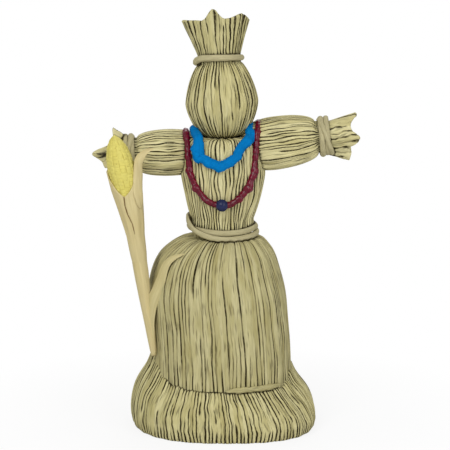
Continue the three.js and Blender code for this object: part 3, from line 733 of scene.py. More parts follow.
@dataclass(frozen=True)
class Finish:
    """A dry painted surface: a tone for each straw, streaks along it, and dark wash and painted shade in its
    grooves and where pieces meet.

    Attributes:
        name: Name of the material.
        pale: Colour of the palest straws.
        warm: Colour of the warmest straws.
        stain_and_shade: Colour of the broad stains along the straws.
        dark: Colour of the darker streaks, of the fine lines, and of the dark wash and painted shade.
        streak: Streaks for each straw width, and for each millimetre of length.
        contrast: How much the streaks darken.
        soak: How much the broad stains show.
        bump: Height of the streaks in millimetres.
        roughness: Roughness of the surface.
        sheen: Strength of its reflections.
        gloss: Weight of a clear coat.
        pool: Dark wash and painted shade at which the dark colour is full.
        hair: How dark the fine lines along the straws are.
    """

    name: str
    pale: Colour
    warm: Colour
    stain_and_shade: Colour
    dark: Colour
    streak: Pair = (3.2, 0.16)
    contrast: float = 0.16
    soak: float = 0.5
    bump: float = 0.12
    roughness: float = 0.75
    sheen: float = 0.15
    gloss: float = 0
    pool: float = 0.62
    hair: float = 0

    def build(self) -> bpy.types.Material:
        """Makes the material.

        Returns:
            The new material.
        """
        bench = NodeBench(bpy.data.materials.new(self.name))
        output = bench.add("OutputMaterial")
        shader = bench.add("BsdfPrincipled", {
            "Roughness": self.roughness, "Specular IOR Level": self.sheen, "Coat Weight": self.gloss,
            "Coat Roughness": COAT_ROUGHNESS})
        bench.link(shader.outputs["BSDF"], output.inputs["Surface"])
        lay = bench.paint("grain").outputs["Vector"]
        place = bench.add("TexCoord").outputs["Object"]
        streak = bench.noise(lay, (self.streak[0], self.streak[1], 1), 3)
        blotch = bench.noise(lay, BLOTCH_SCALE, 2)
        speck = bench.noise(place, SPECK_SCALE, 2)
        shade = bench.mix(bench.paint("tone").outputs["Fac"], self.pale, self.warm)
        darker = bench.span(streak, (STREAK_SPAN[0], self.contrast), (STREAK_SPAN[1], 0))
        streaked = bench.mix(darker, shade, self.dark)
        soaked = bench.span(blotch, (BLOTCH_SPAN[0], 0), (BLOTCH_SPAN[1], self.soak))
        blotched = bench.mix(soaked, streaked, self.stain_and_shade)
        hair = bench.span(bench.noise(lay, HAIR_SCALE, 1), (HAIR_SPAN[0], 0), (HAIR_SPAN[1], self.hair))
        lined = bench.mix(hair, blotched, self.dark)
        # Dark wash and painted shade from the mesh, broken up by specks, darken the colour
        uneven = bench.span(speck, THIN_WASH_AND_SHADE, FULL_WASH_AND_SHADE)
        wash_and_shade = bench.span(bench.paint("wash_and_shade").outputs["Fac"], (WASH_AND_SHADE_START, 0), (self.pool, 1))
        washed_and_shaded = bench.reckon("MULTIPLY", wash_and_shade, uneven)
        bench.link(bench.mix(washed_and_shaded, lined, self.dark), shader.inputs["Base Color"])
        bump = bench.add("Bump", {"Distance": self.bump * MM, "Strength": 1})
        bench.link(streak, bump.inputs["Height"])
        bench.link(bump.outputs["Normal"], shader.inputs["Normal"])
        return bench.owner


STRAW = Finish("dry_straw", srgb(208, 200, 150), srgb(190, 181, 128), srgb(156, 145, 86), srgb(44, 36, 12),
               hair=0.5)
# Painted light: a lighter copy of the straw for the torso, the sleeves and the hands, which stands in for
# more light on them
LIT_STRAW = Finish("straw_painted_lighter", srgb(220, 212, 163), srgb(201, 192, 140), srgb(164, 153, 94),
                srgb(44, 36, 12), hair=0.5)
# A darker copy of the straw, for the bell
SKIRT = Finish("darker_straw", srgb(194, 186, 140), srgb(180, 171, 122), srgb(148, 137, 80), srgb(46, 38, 13),
               hair=0.5)
TUFT = Finish("dry_husk", srgb(202, 194, 144), srgb(186, 178, 127), srgb(156, 146, 92), srgb(46, 38, 14),
              streak=(2.4, 0.12), contrast=0.12, soak=0.4, hair=0.4)
TWINE = Finish("twine", srgb(190, 182, 144), srgb(176, 167, 127), srgb(152, 140, 98), srgb(56, 47, 22),
               streak=(2.5, 0.35), soak=0.3, bump=0.08)
HUSK = Finish("smooth_husk", srgb(209, 195, 147), srgb(198, 183, 133), srgb(188, 169, 112), srgb(104, 78, 40),
              streak=(2.2, 0.05), contrast=0.1, soak=0.35, bump=0.05, roughness=0.6)
LEAF = Finish("dry_leaf", srgb(203, 192, 143), srgb(192, 180, 130), srgb(168, 155, 100), srgb(84, 66, 32),
              streak=(2.2, 0.05), contrast=0.16, soak=0.5, bump=0.05, roughness=0.65)
CORN = Finish("corn_kernels", srgb(221, 212, 122), srgb(208, 196, 99), srgb(198, 183, 84), srgb(160, 138, 52),
              streak=(1.5, 0.6), contrast=0.16, soak=0.6, bump=0.05, roughness=0.6)
BLUE = Finish("matt_blue_paint", srgb(0, 121, 190), srgb(0, 111, 178), srgb(0, 94, 156), srgb(4, 56, 104),
              streak=(3, 1.2), contrast=0.1, soak=0.45, bump=0.1, roughness=0.7, sheen=0.05)
RED = Finish("dark_red_beads", srgb(118, 9, 41), srgb(100, 7, 32), srgb(74, 5, 20), srgb(36, 3, 10),
             streak=(2, 0.8), contrast=0.2, soak=0.5, bump=0.3, roughness=0.5, sheen=0, gloss=0.45)
NAVY = Finish("navy_bead", srgb(38, 45, 84), srgb(29, 35, 68), srgb(23, 28, 56), srgb(14, 16, 34),
              streak=(2, 0.6), contrast=0.2, soak=0.4, bump=0.04, roughness=0.5, sheen=0, gloss=0.3)


# Painted shade beside a neighbour: distance in millimetres over which it fades, its strength, its share
# beside a piece that moves away, and what it loses beyond a piece's middle part, over a fade in millimetres
CONTACT_SHADE_REACH = 0.9
CONTACT_SHADE_STRENGTH = 0.8
CONTACT_SHADE_MOVABLE = 0.25
CONTACT_SHADE_LOSS = 0.8
CONTACT_SHADE_FADE = 3
MOVABLE = ("blue_bead_strand", "red_bead_strand", "husk_curl", "ear_kernels")


class Wardrobe:
    """Hands out each finish's material, keeps the dressed pieces and paints shade where they meet."""

    def __init__(self) -> None:
        """Starts with no material made and no piece dressed."""
        self.made: dict[str, bpy.types.Material] = {}
        self.pieces: dict[str, Piece] = {}

    def dress(self, piece: Piece, finish: Finish) -> None:
        """Gives a piece its finish and keeps it.

        Args:
            piece: The piece.
            finish: Its finish.
        """
        if finish.name not in self.made:
            self.made[finish.name] = finish.build()
        piece.data.materials.append(self.made[finish.name])
        self.pieces[piece.name] = piece
        LOG.info("%s: %d points, %s", piece.name, len(piece.data.vertices), finish.name)

    def pool(self, name: str, beside: tuple[str, ...], within: float = math.inf) -> None:
        """Paints shade on a piece where it lies close to its neighbours.

        Args:
            name: The piece.
            beside: Its neighbours.
            within: Distance from the doll's middle, in millimetres, from which the painted shade is thin.
        """
        reach = CONTACT_SHADE_REACH * MM
        mesh = self.pieces[name].data
        points = np.empty((len(mesh.vertices), 3), np.float32)
        mesh.vertices.foreach_get("co", points.ravel())
        wash_and_shade = np.empty(len(points), np.float32)
        mesh.attributes["wash_and_shade"].data.foreach_get("value", wash_and_shade)
        for other in beside:
            # Painted shade beside this neighbour, weaker beside a piece that moves away
            paint = CONTACT_SHADE_STRENGTH * (CONTACT_SHADE_MOVABLE if other in MOVABLE else 1)
            tree = ground_of([self.pieces[other]])
            corners = np.array([vertex.co for vertex in self.pieces[other].data.vertices])
            low, high = corners.min(0) - reach, corners.max(0) + reach
            for index in np.flatnonzero(np.all((points > low) & (points < high), axis=1)):
                gap = tree.find_nearest(points[index], reach)[3]
                if gap is not None:
                    past = ease((abs(points[index, 0]) / MM - within) / CONTACT_SHADE_FADE + 1)
                    thick = paint * (1 - CONTACT_SHADE_LOSS * past)
                    wash_and_shade[index] = min(1, wash_and_shade[index] + thick * (1 - gap / reach))
        mesh.attributes["wash_and_shade"].data.foreach_set("value", wash_and_shade)


# Skirts


@dataclass
class Skirts:
    """The bell of long straws and the flared under-skirt that the doll stands on.

    Attributes:
        hem_height: Height of the bell's hem.
        hem_radius: Half width of the bell at its hem.
        bell_height: Height of the bell's curve above the hem.
        squareness: Power of the bell's curve.
        thickness: Thickness of the hem.
        waist_radius: Half width of the bell under the twine.
        waist_top: Height of the bell's top, inside the torso.
        depth_ratio: Depth as a share of the width.
        plan_power: Power of the plan; above 2 is squarer than an oval.
        lean: How far the hip swings to the doll's right.
        hip_gain: Gain of the hip's curve, so that its crest is near the lean.
        slope: How far the bell is drawn in under the waist, at what height, and with what spread.
        fill: How far the bell is filled out at its middle, and where, in the same way.
        foot_width: Half width of the foot.
        foot_depth: Half depth of the foot.
        edge_height: Height of the foot's edge above its trimmed ends.
        knee_height: Height at which the foot's flare bends in.
        lip_height: Height of the foot's lip at the sides, before the seat's rise.
        front_lip: Height of its lip at the front and the back.
        seat_swell: How far the foot swells at the doll's right, where the stalk stands.
        seat_rise: How far the lip rises there.
        seat_crest: How much more it rises at the stalk, about crest_at.
        crest_at: Angle of the crest in degrees, and its spread.
        cinch: How far the foot's sides are drawn in, and where, in the same way.
        skew: How far the foot's front lies to the doll's left.
        skew_depth: Distance to the front at which the skew is full.
        foot_aside: How far the whole sole lies to the doll's left.
        roll_span: Angles, in degrees, between which the hem is rolled up.
        roll_radius: Radius of the roll.
        roll_share: Share of the bell's outline along which the roll runs.
        roll_sides: Points round the roll.
        roll_wobble: How far the roll strays up and down.
        roll_rise: Share of the roll's length, and its rise there.
        roll_shape: Share of the roll's length, and its thickness there.
        hollow_edge: Height, and X of the edge, of the hollow behind the stalk.
        hollow_shade: Painted shade in that hollow.
        bell_length: Length of the bell's straws.
        foot_length: Length of the foot's straws.
        bell_straws: Straws of the bell.
        foot_straws: Straws of the foot.
    """

    hem_height: float = 19
    hem_radius: float = 27.8
    bell_height: float = 58
    squareness: float = 0.64
    thickness: float = 2.2
    waist_radius: float = 12.6
    waist_top: float = 81
    depth_ratio: float = 0.9
    plan_power: float = 2.5
    lean: float = 2.4
    hip_gain: float = 2.6
    slope: Triple = (1.6, 75.5, 4.2)
    fill: Triple = (0.8, 56, 9)
    foot_width: float = 37.2
    foot_depth: float = 33
    edge_height: float = 4.5
    knee_height: float = 12
    lip_height: float = 24.5
    front_lip: float = 18.4
    seat_swell: float = 0.8
    seat_rise: float = 5
    seat_crest: float = 3.2
    crest_at: Pair = (-68, 18)
    cinch: Triple = (1.3, 20.5, 4.5)
    skew: float = 1.7
    skew_depth: float = 24
    foot_aside: float = 0.3
    roll_span: Pair = (3, 52)
    roll_radius: float = 1.25
    roll_share: float = 0.058
    roll_sides: int = 16
    roll_wobble: float = 0.125
    roll_rise: Table = ((0, -0.5), (0.2, 0), (1, 0.4))
    roll_shape: Table = (
        (0, 0.1), (0.03, 0.45), (0.2, 1), (0.4, 0.8), (0.75, 0.95), (0.97, 0.4), (1, 0.1))
    hollow_edge: Table = (
        (56.9, -28.6), (59.9, -26), (64.8, -24.6), (69.4, -23.5), (73.9, -22), (76, -21))
    hollow_shade: float = 0.36
    bell_length: float = 80
    foot_length: float = 36
    bell_straws: StrawField = StrawField(
        28, 4, 0.55, 11, partial=0.7, near=(0.45, 0.6), ragged=(0.006, 0), fringe=0.2, groove_wash_and_shade=1.2)
    foot_straws: StrawField = StrawField(
        30, 5, 0.55, 12, partial=0.5, near=(2.4, 0.5), ragged=(0, 0.05), fringe=0.38, groove_wash_and_shade=1.5,
        smooth=(0.9, 0))

    @property
    def bell(self) -> Profile:
        """Outline of the bell.

        Returns:
            Its outline, from under the hem to the waist.
        """
        wide = (self.hem_radius, self.hem_height)
        end = (self.waist_radius, self.hem_height + self.bell_height)
        inner = self.hem_radius - self.thickness
        hem = [(inner, self.hem_height + 1.5), (inner + 0.4, self.hem_height + 0.2)]
        hem += [(inner + 1.2, self.hem_height - 0.3), (self.hem_radius - 0.2, self.hem_height - 0.1)]
        skin = arc(wide, end, self.squareness)
        return Profile(np.concatenate([np.array(hem), skin, [[self.waist_radius, self.waist_top]]]))

    @property
    def flare(self) -> Profile:
        """Outline of the foot.

        Returns:
            Its outline, from the sole up to the lip.
        """
        share = np.linspace(0, 1, 40)[:, None]
        edge = np.array([self.foot_width, self.edge_height])
        knee = np.array([self.foot_width, self.knee_height])
        lip = np.array([self.hem_radius + 0.9, self.lip_height])
        rise = (1 - share) ** 2 * edge + 2 * share * (1 - share) * knee + share**2 * lip
        inset = self.foot_width - 2
        sole = np.array([(inset - 4, 0), (inset, 0), (inset + 0.8, 0.4), (inset + 1.4, 1.35)])
        tuck = [(self.hem_radius + 0.1, self.lip_height + 0.7), (self.hem_radius - 1.2, self.lip_height + 1)]
        return Profile(np.concatenate([sole, rise, np.array(tuck)]))

    def plan(self, angle: Array, radius: Array) -> Array:
        """How far the plan is squared out at an angle.

        Args:
            angle: Angles in radians.
            radius: Radius at each.

        Returns:
            Factor of each radius.
        """
        power = np.abs(np.sin(angle)) ** self.plan_power + np.abs(np.cos(angle)) ** self.plan_power
        out = held((radius - self.waist_radius) / (self.hem_radius - self.waist_radius))
        return 1 + (power ** (-1 / self.plan_power) - 1) * out

    def hip(self, height: Array) -> Array:
        """How far the hip swings to the doll's right at a height."""
        up = held((height - self.hem_height) / self.bell_height)
        return -self.lean * self.hip_gain * up**2 * (1 - up**4)

    def bell_surface(self, turn: Array, share: Array) -> Array:
        """Point of the bell at a turn and share.

        Args:
            turn: Turns round the bell.
            share: Shares of its outline.

        Returns:
            The points.
        """
        radius, height = self.bell.at(share)
        radius = radius - rounded(height, self.slope) + rounded(height, self.fill)
        angle = FULL_TURN * turn
        points = oval(radius * self.plan(angle, radius), self.depth_ratio, angle, height)
        points[..., 0] += self.hip(height)
        return points

    def foot_surface(self, turn: Array, share: Array) -> Array:
        """Point of the flared foot at a turn and share.

        Args:
            turn: Turns round the foot.
            share: Shares of its outline.

        Returns:
            The points.
        """
        radius, height = self.flare.at(share)
        angle = FULL_TURN * turn
        radius = radius - rounded(height, self.cinch) * np.sin(angle) ** 2
        up = np.clip((height - self.edge_height) / (self.lip_height - self.edge_height), 0, 1.05)
        spread = held((radius - self.hem_radius) / (self.foot_width - self.hem_radius))
        ratio = self.depth_ratio + (self.foot_depth / self.foot_width - self.depth_ratio) * spread
        right = np.maximum(0, -np.sin(angle))
        reach = radius * self.plan(angle, radius)
        x = reach * np.sin(angle) - self.seat_swell * np.sin(math.pi * held(up)) * right**3
        front = ease((np.abs(np.cos(angle)) - 0.15) / 0.5)
        low = (self.front_lip - self.edge_height) / (self.lip_height - self.edge_height)
        rise = np.where(height > self.edge_height, (height - self.edge_height) * (1 + (low - 1) * front), 0)
        crest = self.seat_crest * hump(turned_from(np.degrees(angle), self.crest_at[0]), 0, self.crest_at[1])
        seat = up * (self.seat_rise * right**2 + crest)
        level = np.maximum(np.minimum(height, self.edge_height), 0) + rise + np.where(up > 0, seat, 0)
        y = -reach * ratio * np.cos(angle)
        aside = self.foot_aside + self.skew * held(-y / self.skew_depth)
        x = x + aside * (1 - held(up))
        return np.stack([x, y, level], axis=-1)

    def build(self, wardrobe: Wardrobe) -> None:
        """Makes and dresses both skirts.

        Args:
            wardrobe: Finishes.
        """
        rows = uneven_rows(0.06, 10, 84)
        bell_patch = self.bell_straws.lay(self.bell_surface, rows, self.bell_length)
        self.shade_behind_stalk(bell_patch)
        over = make_piece("skirt_straws", [bell_patch, self.hem_roll()])
        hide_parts("over_skirt")
        rows = uneven_rows(0.3, 22, 40)
        foot_patch = self.foot_straws.lay(self.foot_surface, rows, self.foot_length)
        foot_patch.points[..., 2] = np.maximum(foot_patch.points[..., 2], 0)
        under = make_piece("foot_straws", [foot_patch])
        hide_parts("under_skirt")
        for piece, finish in ((over, SKIRT), (under, STRAW)):
            wardrobe.dress(piece, finish)
            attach(piece, Body.DOLL.value)

    def hem_roll(self) -> Patch:
        """The stretch of the hem that is rolled up, at the front on the doll's left.

        Returns:
            The roll's patch.
        """
        rng = np.random.default_rng(14)
        along = np.linspace(0, 1, 90)
        turn = np.interp(along, [0, 1], self.roll_span) / 360
        path = self.bell_surface(turn, np.full(len(along), self.roll_share)) + np.array([0, -0.2, 0])
        path[:, 2] += self.roll_wobble * waves(rng, 1, along, (2, 7))[:, 0] + read_off(self.roll_rise, along)
        thick = read_off(self.roll_shape, along)[:, None]
        radius = self.roll_radius * thick * (1 + 0.18 * waves(rng, self.roll_sides, along, (3, 16)))
        round_ = angles_round(self.roll_sides)
        # Painted shade on the roll's inner side, where it lies against the bell
        wash_and_shade = np.repeat(ease((0.15 - np.cos(round_)) / 0.7)[None], len(along), axis=0)
        return Patch.plain(tube(path, radius, self.roll_sides, 0.8, path * LEVEL_PART), rng, wash_and_shade)

    def shade_behind_stalk(self, patch: Patch) -> None:
        """Deepens the painted shade in the hollow behind the stalk and its side leaf.

        Args:
            patch: The bell's patch.
        """
        x, y, level = np.moveaxis(patch.points, -1, 0)
        edge = read_off(self.hollow_edge, level)
        # It fades out at its edge, towards the back, and at its lower and upper ends, in millimetres
        beside = ease((edge - x) / 1.8) * ease((6 - y) / 14)
        hollow = beside * ease((level - 51) / 10) * ease((82 - level) / 14)
        # Painted shade in the hollow
        patch.wash_and_shade[:] = held(patch.wash_and_shade + self.hollow_shade * hollow)


# Torso and head


@dataclass
class Torso:
    """The bundle from the waist to the collar."""

    waist_radius: float = 12.6
    waist_base: float = 79.5
    waist_top: float = 84.8
    bust_radius: float = 16.9
    bust_height: float = 102.74
    bust_taper: float = 1.7
    collar_radius: float = 9.1
    collar_height: float = 116.94
    depth_ratio: float = 0.85
    squareness: float = 0.5
    lift: float = 0.4
    aside: float = 0.5
    length: float = 50
    straws: StrawField = StrawField(
        18, 4, 0.7, 21, partial=0.45, near=(0.7, 0.6), ragged=(0, 0.015), fringe=0.3, groove_wash_and_shade=1.6, sway=0.28)

    @property
    def outline(self) -> Profile:
        """Outline of the torso.

        Returns:
            Its outline, from the waist up and in over the collar.
        """
        bust = (self.bust_radius, self.bust_height)
        rise = arc(bust, (self.waist_radius, self.waist_top), self.bust_taper)[::-1]
        fall = arc(bust, (self.collar_radius, self.collar_height), self.squareness)
        start = np.array([[self.waist_radius - 1, self.waist_base], [self.waist_radius, self.waist_base + 1]])
        collar = np.array([[self.collar_radius - 1, self.collar_height + 0.1], [6, self.collar_height - 0.4]])
        return Profile(np.concatenate([start, rise, fall[1:], collar]))

    def surface(self, turn: Array, share: Array) -> Array:
        """Point of the torso at a turn and share.

        Args:
            turn: Turns round the torso.
            share: Shares of its outline.

        Returns:
            The points.
        """
        radius, height = self.outline.at(share)
        angle = FULL_TURN * turn
        inward = held((self.bust_radius - radius) / (self.bust_radius - self.collar_radius))
        rounder = self.depth_ratio + (1 - self.depth_ratio) * inward
        ratio = np.where(height > self.bust_height, rounder, self.depth_ratio)
        up = ease((height - self.bust_height) / (self.collar_height - self.bust_height))
        level = height + self.lift * up * np.minimum(1, 2 * (1 - inward)) * np.sin(angle) ** 2
        points = oval(radius, ratio, angle, level)
        points[..., 0] += self.aside * hump(height, self.bust_height - 5, 12)
        return points

    def build(self, wardrobe: Wardrobe) -> Piece:
        """Makes and dresses the torso.

        Args:
            wardrobe: Finishes.

        Returns:
            The torso's piece.
        """
        patch = self.straws.lay(self.surface, np.linspace(0, 1, 76), self.length)
        piece = make_piece("torso_straws", [patch])
        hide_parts("torso", "spine_core", "arm_core")
        wardrobe.dress(piece, LIT_STRAW)
        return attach(piece, Body.DOLL.value)


@dataclass(frozen=True)
class Lobe:
    """One tip of a tuft: angle and spread in degrees, and radius and height at the rim."""

    angle: float
    radius: float
    height: float
    spread: float
    folded: bool = True


# Shares of a tuft's outline: where its rim is, how long the turn over it is, and where its hollow starts
RIM_SHARE = 0.7
OVER_SHARE = 0.06
HOLLOW_SHARE = 0.76
# How far a tuft's hollow closes in at its floor, the power of its curve, and how far the rim is rounded up
HOLLOW_CLOSE = 0.94
HOLLOW_CURVE = 0.8
RIM_ROUND = 0.45
# Degrees from a tip's middle to its fold, the fold's width, and the painted shade in the folds and in the
# hollow
FOLD_ASIDE = 5
FOLD_WIDTH = 4.5
FOLD_SHADE = 0.5
HOLLOW_SHADE = 0.8


@dataclass
class Tuft:
    """Husk that is bound at its neck and opens to folded tips round a hollow."""

    neck: float
    valley_radius: float
    valley_height: float
    hollow: float
    depth_ratio: float
    lobes: list[Lobe]
    straws: StrawField
    wall: float = 1.3
    flare: float = 1.7
    crease: float = 0.55

    def rim(self, angle: Array) -> tuple[Array, Array]:
        """Rim of the tuft.

        Args:
            angle: Angles in degrees.

        Returns:
            Radius and height of the rim at each angle.
        """
        radius, height = np.full_like(angle, self.valley_radius), np.full_like(angle, self.valley_height)
        for lobe in self.lobes:
            near = hump(turned_from(angle, lobe.angle), 0, lobe.spread)
            radius = radius + (lobe.radius - self.valley_radius) * near
            height = height + (lobe.height - self.valley_height) * near
        return radius, height

    def surface(self, turn: Array, share: Array) -> Array:
        """Point of the tuft: up its outside, over the rim and down into the hollow.

        Args:
            turn: Turns round the tuft.
            share: Shares of its outline.

        Returns:
            The points.
        """
        angle = FULL_TURN * turn
        rim, top = self.rim(np.degrees(angle))
        out = held(share / RIM_SHARE)
        over = held((share - RIM_SHARE) / OVER_SHARE)
        down = held((share - HOLLOW_SHARE) / (1 - HOLLOW_SHARE))
        radius = self.neck + (rim - self.neck) * out**self.flare
        radius = radius - self.wall * over
        radius = radius * (1 - HOLLOW_CLOSE * ease(down) ** HOLLOW_CURVE)
        level = top * out + RIM_ROUND * np.sin(math.pi * over) - self.hollow * down**HOLLOW_CURVE
        return oval(radius, self.depth_ratio, angle, level)

    def bearing(self, patch: Patch) -> Array:
        """Angle of each point of a patch round the tuft, in radians."""
        return np.arctan2(patch.points[..., 0], -patch.points[..., 1] / self.depth_ratio)

    def patch(self, length: float) -> Patch:
        """Lays husk straws on the tuft, folds its tips and paints shade in the folds and the hollow.

        Args:
            length: Length of the straws.

        Returns:
            The tuft's patch, along +Z from its neck.
        """
        rows = uneven_rows(RIM_SHARE, 44, 22)
        patch = self.straws.lay(self.surface, rows, length)
        turn = self.bearing(patch) / FULL_TURN
        even = self.surface(turn, np.broadcast_to(rows[:, None], patch.wash_and_shade.shape))
        calm = (ease((rows - 0.5) / 0.2) * 0.7)[:, None]
        patch.points[:] += (even - patch.points) * calm[..., None]
        angle = np.degrees(self.bearing(patch))
        outside = (ease(rows / RIM_SHARE) * (rows < HOLLOW_SHARE + 0.01))[:, None]
        for lobe in (lobe for lobe in self.lobes if lobe.folded):
            fold = hump(turned_from(angle, lobe.angle + FOLD_ASIDE), 0, FOLD_WIDTH) * outside**2
            patch.points[..., :2] *= (1 - self.crease * fold / max(self.valley_radius, 1))[..., None]
            # Painted shade in the fold
            patch.wash_and_shade[:] = held(patch.wash_and_shade + FOLD_SHADE * fold * (rows < RIM_SHARE)[:, None])
        # Painted shade deep in the hollow
        patch.wash_and_shade[:] = held(patch.wash_and_shade + HOLLOW_SHADE * ease((rows - 0.78) / 0.2)[:, None])
        return patch


@dataclass
class Head:
    """The head's bundle, its crown and the tuft above it, which lean a little to the doll's right."""

    pivot: float = 114.84
    tilt: float = 3.3
    aside: float = 0.9
    neck_radius: float = 6.6
    neck_height: float = 117.4
    bulge_radius: float = 14.4
    bulge_height: float = 130.74
    crown_radius: float = 8.3
    crown_height: float = 145.94
    tuft_base: float = 148.2
    depth_ratio: float = 0.95
    neck_curve: float = 1.3
    crown_curve: float = 1.45
    length: float = 48
    tuft_length: float = 22
    straws: StrawField = StrawField(18, 3, 0.6, 31, partial=0.56, near=(0.9, 0.7), fringe=0.36, groove_wash_and_shade=1.9)
    tuft: Tuft = field(default_factory=lambda: Tuft(
        neck=8.1, valley_radius=10.2, valley_height=15, hollow=6, depth_ratio=0.95,
        lobes=[Lobe(-80, 14.1, 15.2, 26), Lobe(-36, 10.4, 14.8, 10, False), Lobe(-8, 11.2, 19.2, 15),
               Lobe(56, 12.4, 16.8, 20), Lobe(88, 12.4, 14.2, 18), Lobe(140, 12, 10.8, 34),
               Lobe(205, 12, 10.8, 34)],
        straws=StrawField(14, 3, 0.6, 32, partial=0.5, lift=0.2, near=(0.7, 0.1), hollow=0.2, groove_wash_and_shade=1.9),
        flare=1.15))

    def lean(self, points: Array) -> Array:
        """Tilts points about the neck, in place.

        Args:
            points: Points of the upright head.

        Returns:
            The same points.
        """
        angle = math.radians(self.tilt)
        x, z = points[..., 0].copy(), points[..., 2] - self.pivot
        points[..., 0] = self.aside + x * math.cos(angle) - z * math.sin(angle)
        points[..., 2] = self.pivot + x * math.sin(angle) + z * math.cos(angle)
        return points

    @property
    def outline(self) -> Profile:
        """Outline of the head.

        Returns:
            Its outline, from inside the neck up to the crown.
        """
        bulge = (self.bulge_radius, self.bulge_height)
        low = arc(bulge, (self.neck_radius, self.neck_height), self.neck_curve)[::-1]
        high = arc(bulge, (self.crown_radius, self.crown_height), self.crown_curve)
        start = [(5, self.neck_height + 0.6), (self.neck_radius - 0.6, self.neck_height - 0.5)]
        end = [(self.crown_radius, self.tuft_base + 1.5), (self.crown_radius - 1.5, self.tuft_base + 2)]
        return Profile(np.concatenate([np.array(start), low, high[1:], np.array(end)]))

    def surface(self, turn: Array, share: Array) -> Array:
        """Point of the upright head at a turn and share."""
        radius, height = self.outline.at(share)
        return oval(radius, self.depth_ratio, FULL_TURN * turn, height)

    def build(self, wardrobe: Wardrobe) -> None:
        """Makes and dresses the head and its tuft.

        Args:
            wardrobe: Finishes.
        """
        head = self.straws.lay(self.surface, np.linspace(0, 1, 84), self.length)
        self.lean(head.points)
        bundle = make_piece("head_straws", [head])
        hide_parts("head_bundle", "head_padding", "neck_tie")
        wardrobe.dress(bundle, STRAW)
        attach(bundle, Body.DOLL.value)
        tuft = self.tuft.patch(self.tuft_length)
        tuft.points[..., 2] += self.tuft_base
        self.lean(tuft.points)
        topknot = make_piece("topknot_husk", [tuft])
        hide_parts("topknot")
        wardrobe.dress(topknot, TUFT)
        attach(topknot, Body.DOLL.value)


# Arms and hands


@dataclass
class Arm:
    """One sleeve of straws and the husk hand past its wrist."""

    side: Side
    tilt: float
    bulge_radius: float
    wrist_reach: float
    hand: Tuft
    seed: int
    height: float = 111.1
    root_reach: float = 9
    root_radius: float = 7.0
    bulge_reach: float = 21
    wrist_radius: float = 6.2
    wrist_band: float = 6.3
    root_curve: float = 1.15
    wrist_curve: float = 0.98
    depth_ratio: float = 0.85
    droop: float = 0
    length: float = 36
    hand_length: float = 14

    @property
    def title(self) -> str:
        """Name of the arm's side."""
        return self.side.name.lower()

    def place(self, points: Array) -> Array:
        """Turns points built along +Z to lie along the arm, in place.

        Args:
            points: Points along +Z.

        Returns:
            The same points.
        """
        turn = self.side.value * (math.pi / 2 - math.radians(self.tilt))
        x, z = points[..., 0].copy(), points[..., 2].copy()
        points[..., 0] = x * math.cos(turn) + z * math.sin(turn)
        points[..., 2] = self.height - x * math.sin(turn) + z * math.cos(turn)
        return points

    @property
    def outline(self) -> Profile:
        """Outline of the sleeve.

        Returns:
            Its outline, from inside the torso to the wrist.
        """
        wide = (self.bulge_radius, self.bulge_reach)
        root = arc(wide, (self.root_radius, self.root_reach), self.root_curve)[::-1]
        band = (self.wrist_radius, self.wrist_reach - self.wrist_band / 2)
        wrist = arc(wide, band, self.wrist_curve)
        end = [(self.wrist_radius, self.wrist_reach + 0.5), (self.wrist_radius - 2, self.wrist_reach + 1)]
        return Profile(np.concatenate([root, wrist[1:], np.array(end)]))

    def surface(self, turn: Array, share: Array) -> Array:
        """Point of the sleeve along +Z at a turn and share."""
        radius, reach = self.outline.at(share)
        return oval(radius, self.depth_ratio, FULL_TURN * turn, reach)

    def build(self, wardrobe: Wardrobe) -> Piece:
        """Makes and dresses the sleeve and the hand.

        Args:
            wardrobe: Finishes.

        Returns:
            The sleeve's piece.
        """
        straws = StrawField(12, 4, 0.6, self.seed, partial=0.36, near=(0.5, 0.7), ragged=(0.03, 0),
                            fringe=0.25, groove_wash_and_shade=1.7, sway=0.16)
        patch = straws.lay(self.surface, np.linspace(0, 1, 56), self.length)
        self.place(patch.points)
        sleeve = make_piece(f"{self.title}_sleeve_straws", [patch])
        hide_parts(f"{self.title}_arm")
        wardrobe.dress(sleeve, LIT_STRAW)
        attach(sleeve, Body.DOLL.value)
        husk = self.hand.patch(self.hand_length)
        husk.points[..., 2] += self.wrist_reach
        self.place(husk.points)
        husk.points[..., 2] -= self.droop
        hand = make_piece(f"{self.title}_hand_husk", [husk])
        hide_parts(f"{self.title}_hand")
        wardrobe.dress(hand, LIT_STRAW)
        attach(hand, Body.DOLL.value)
        return sleeve


def left_arm() -> Arm:
    """The empty arm, with its open hand.

    Returns:
        The arm.
    """
    hand = Tuft(
        neck=6.2, valley_radius=6.4, valley_height=10.2, hollow=5, depth_ratio=0.85,
        lobes=[Lobe(-86, 8.5, 13.6, 26), Lobe(12, 7.2, 13.4, 24), Lobe(50, 6.4, 7.4, 11, False),
               Lobe(88, 10.2, 8.4, 19), Lobe(150, 7, 8.4, 26), Lobe(-150, 8, 11, 26)],
        straws=StrawField(9, 2, 0.4, 42, partial=0.5, lift=0.2, near=(0.7, 0.05), hollow=0.15, groove_wash_and_shade=1.1),
        wall=1.2, flare=1.05, crease=0.5)
    return Arm(Side.LEFT, tilt=8.6, bulge_radius=10.5, wrist_reach=41, hand=hand, seed=41, droop=1)


def right_arm() -> Arm:
    """The arm that holds the corn.

    Returns:
        The arm.
    """
    hand = Tuft(
        neck=6.2, valley_radius=5.6, valley_height=5.2, hollow=4, depth_ratio=0.85,
        lobes=[Lobe(84, 11, 6, 34), Lobe(-176, 6.2, 14.9, 34), Lobe(-126, 8, 8.8, 22), Lobe(-70, 6.4, 7, 24),
               Lobe(8, 5.8, 7, 24)],
        straws=StrawField(9, 2, 0.45, 44, lift=0.2, near=(0.8, 0.1), hollow=0.15),
        wall=1.2, flare=1.05, crease=0.8)
    return Arm(Side.RIGHT, tilt=-1.5, bulge_radius=9.2, wrist_reach=36.6, hand=hand, seed=43)


# Ties

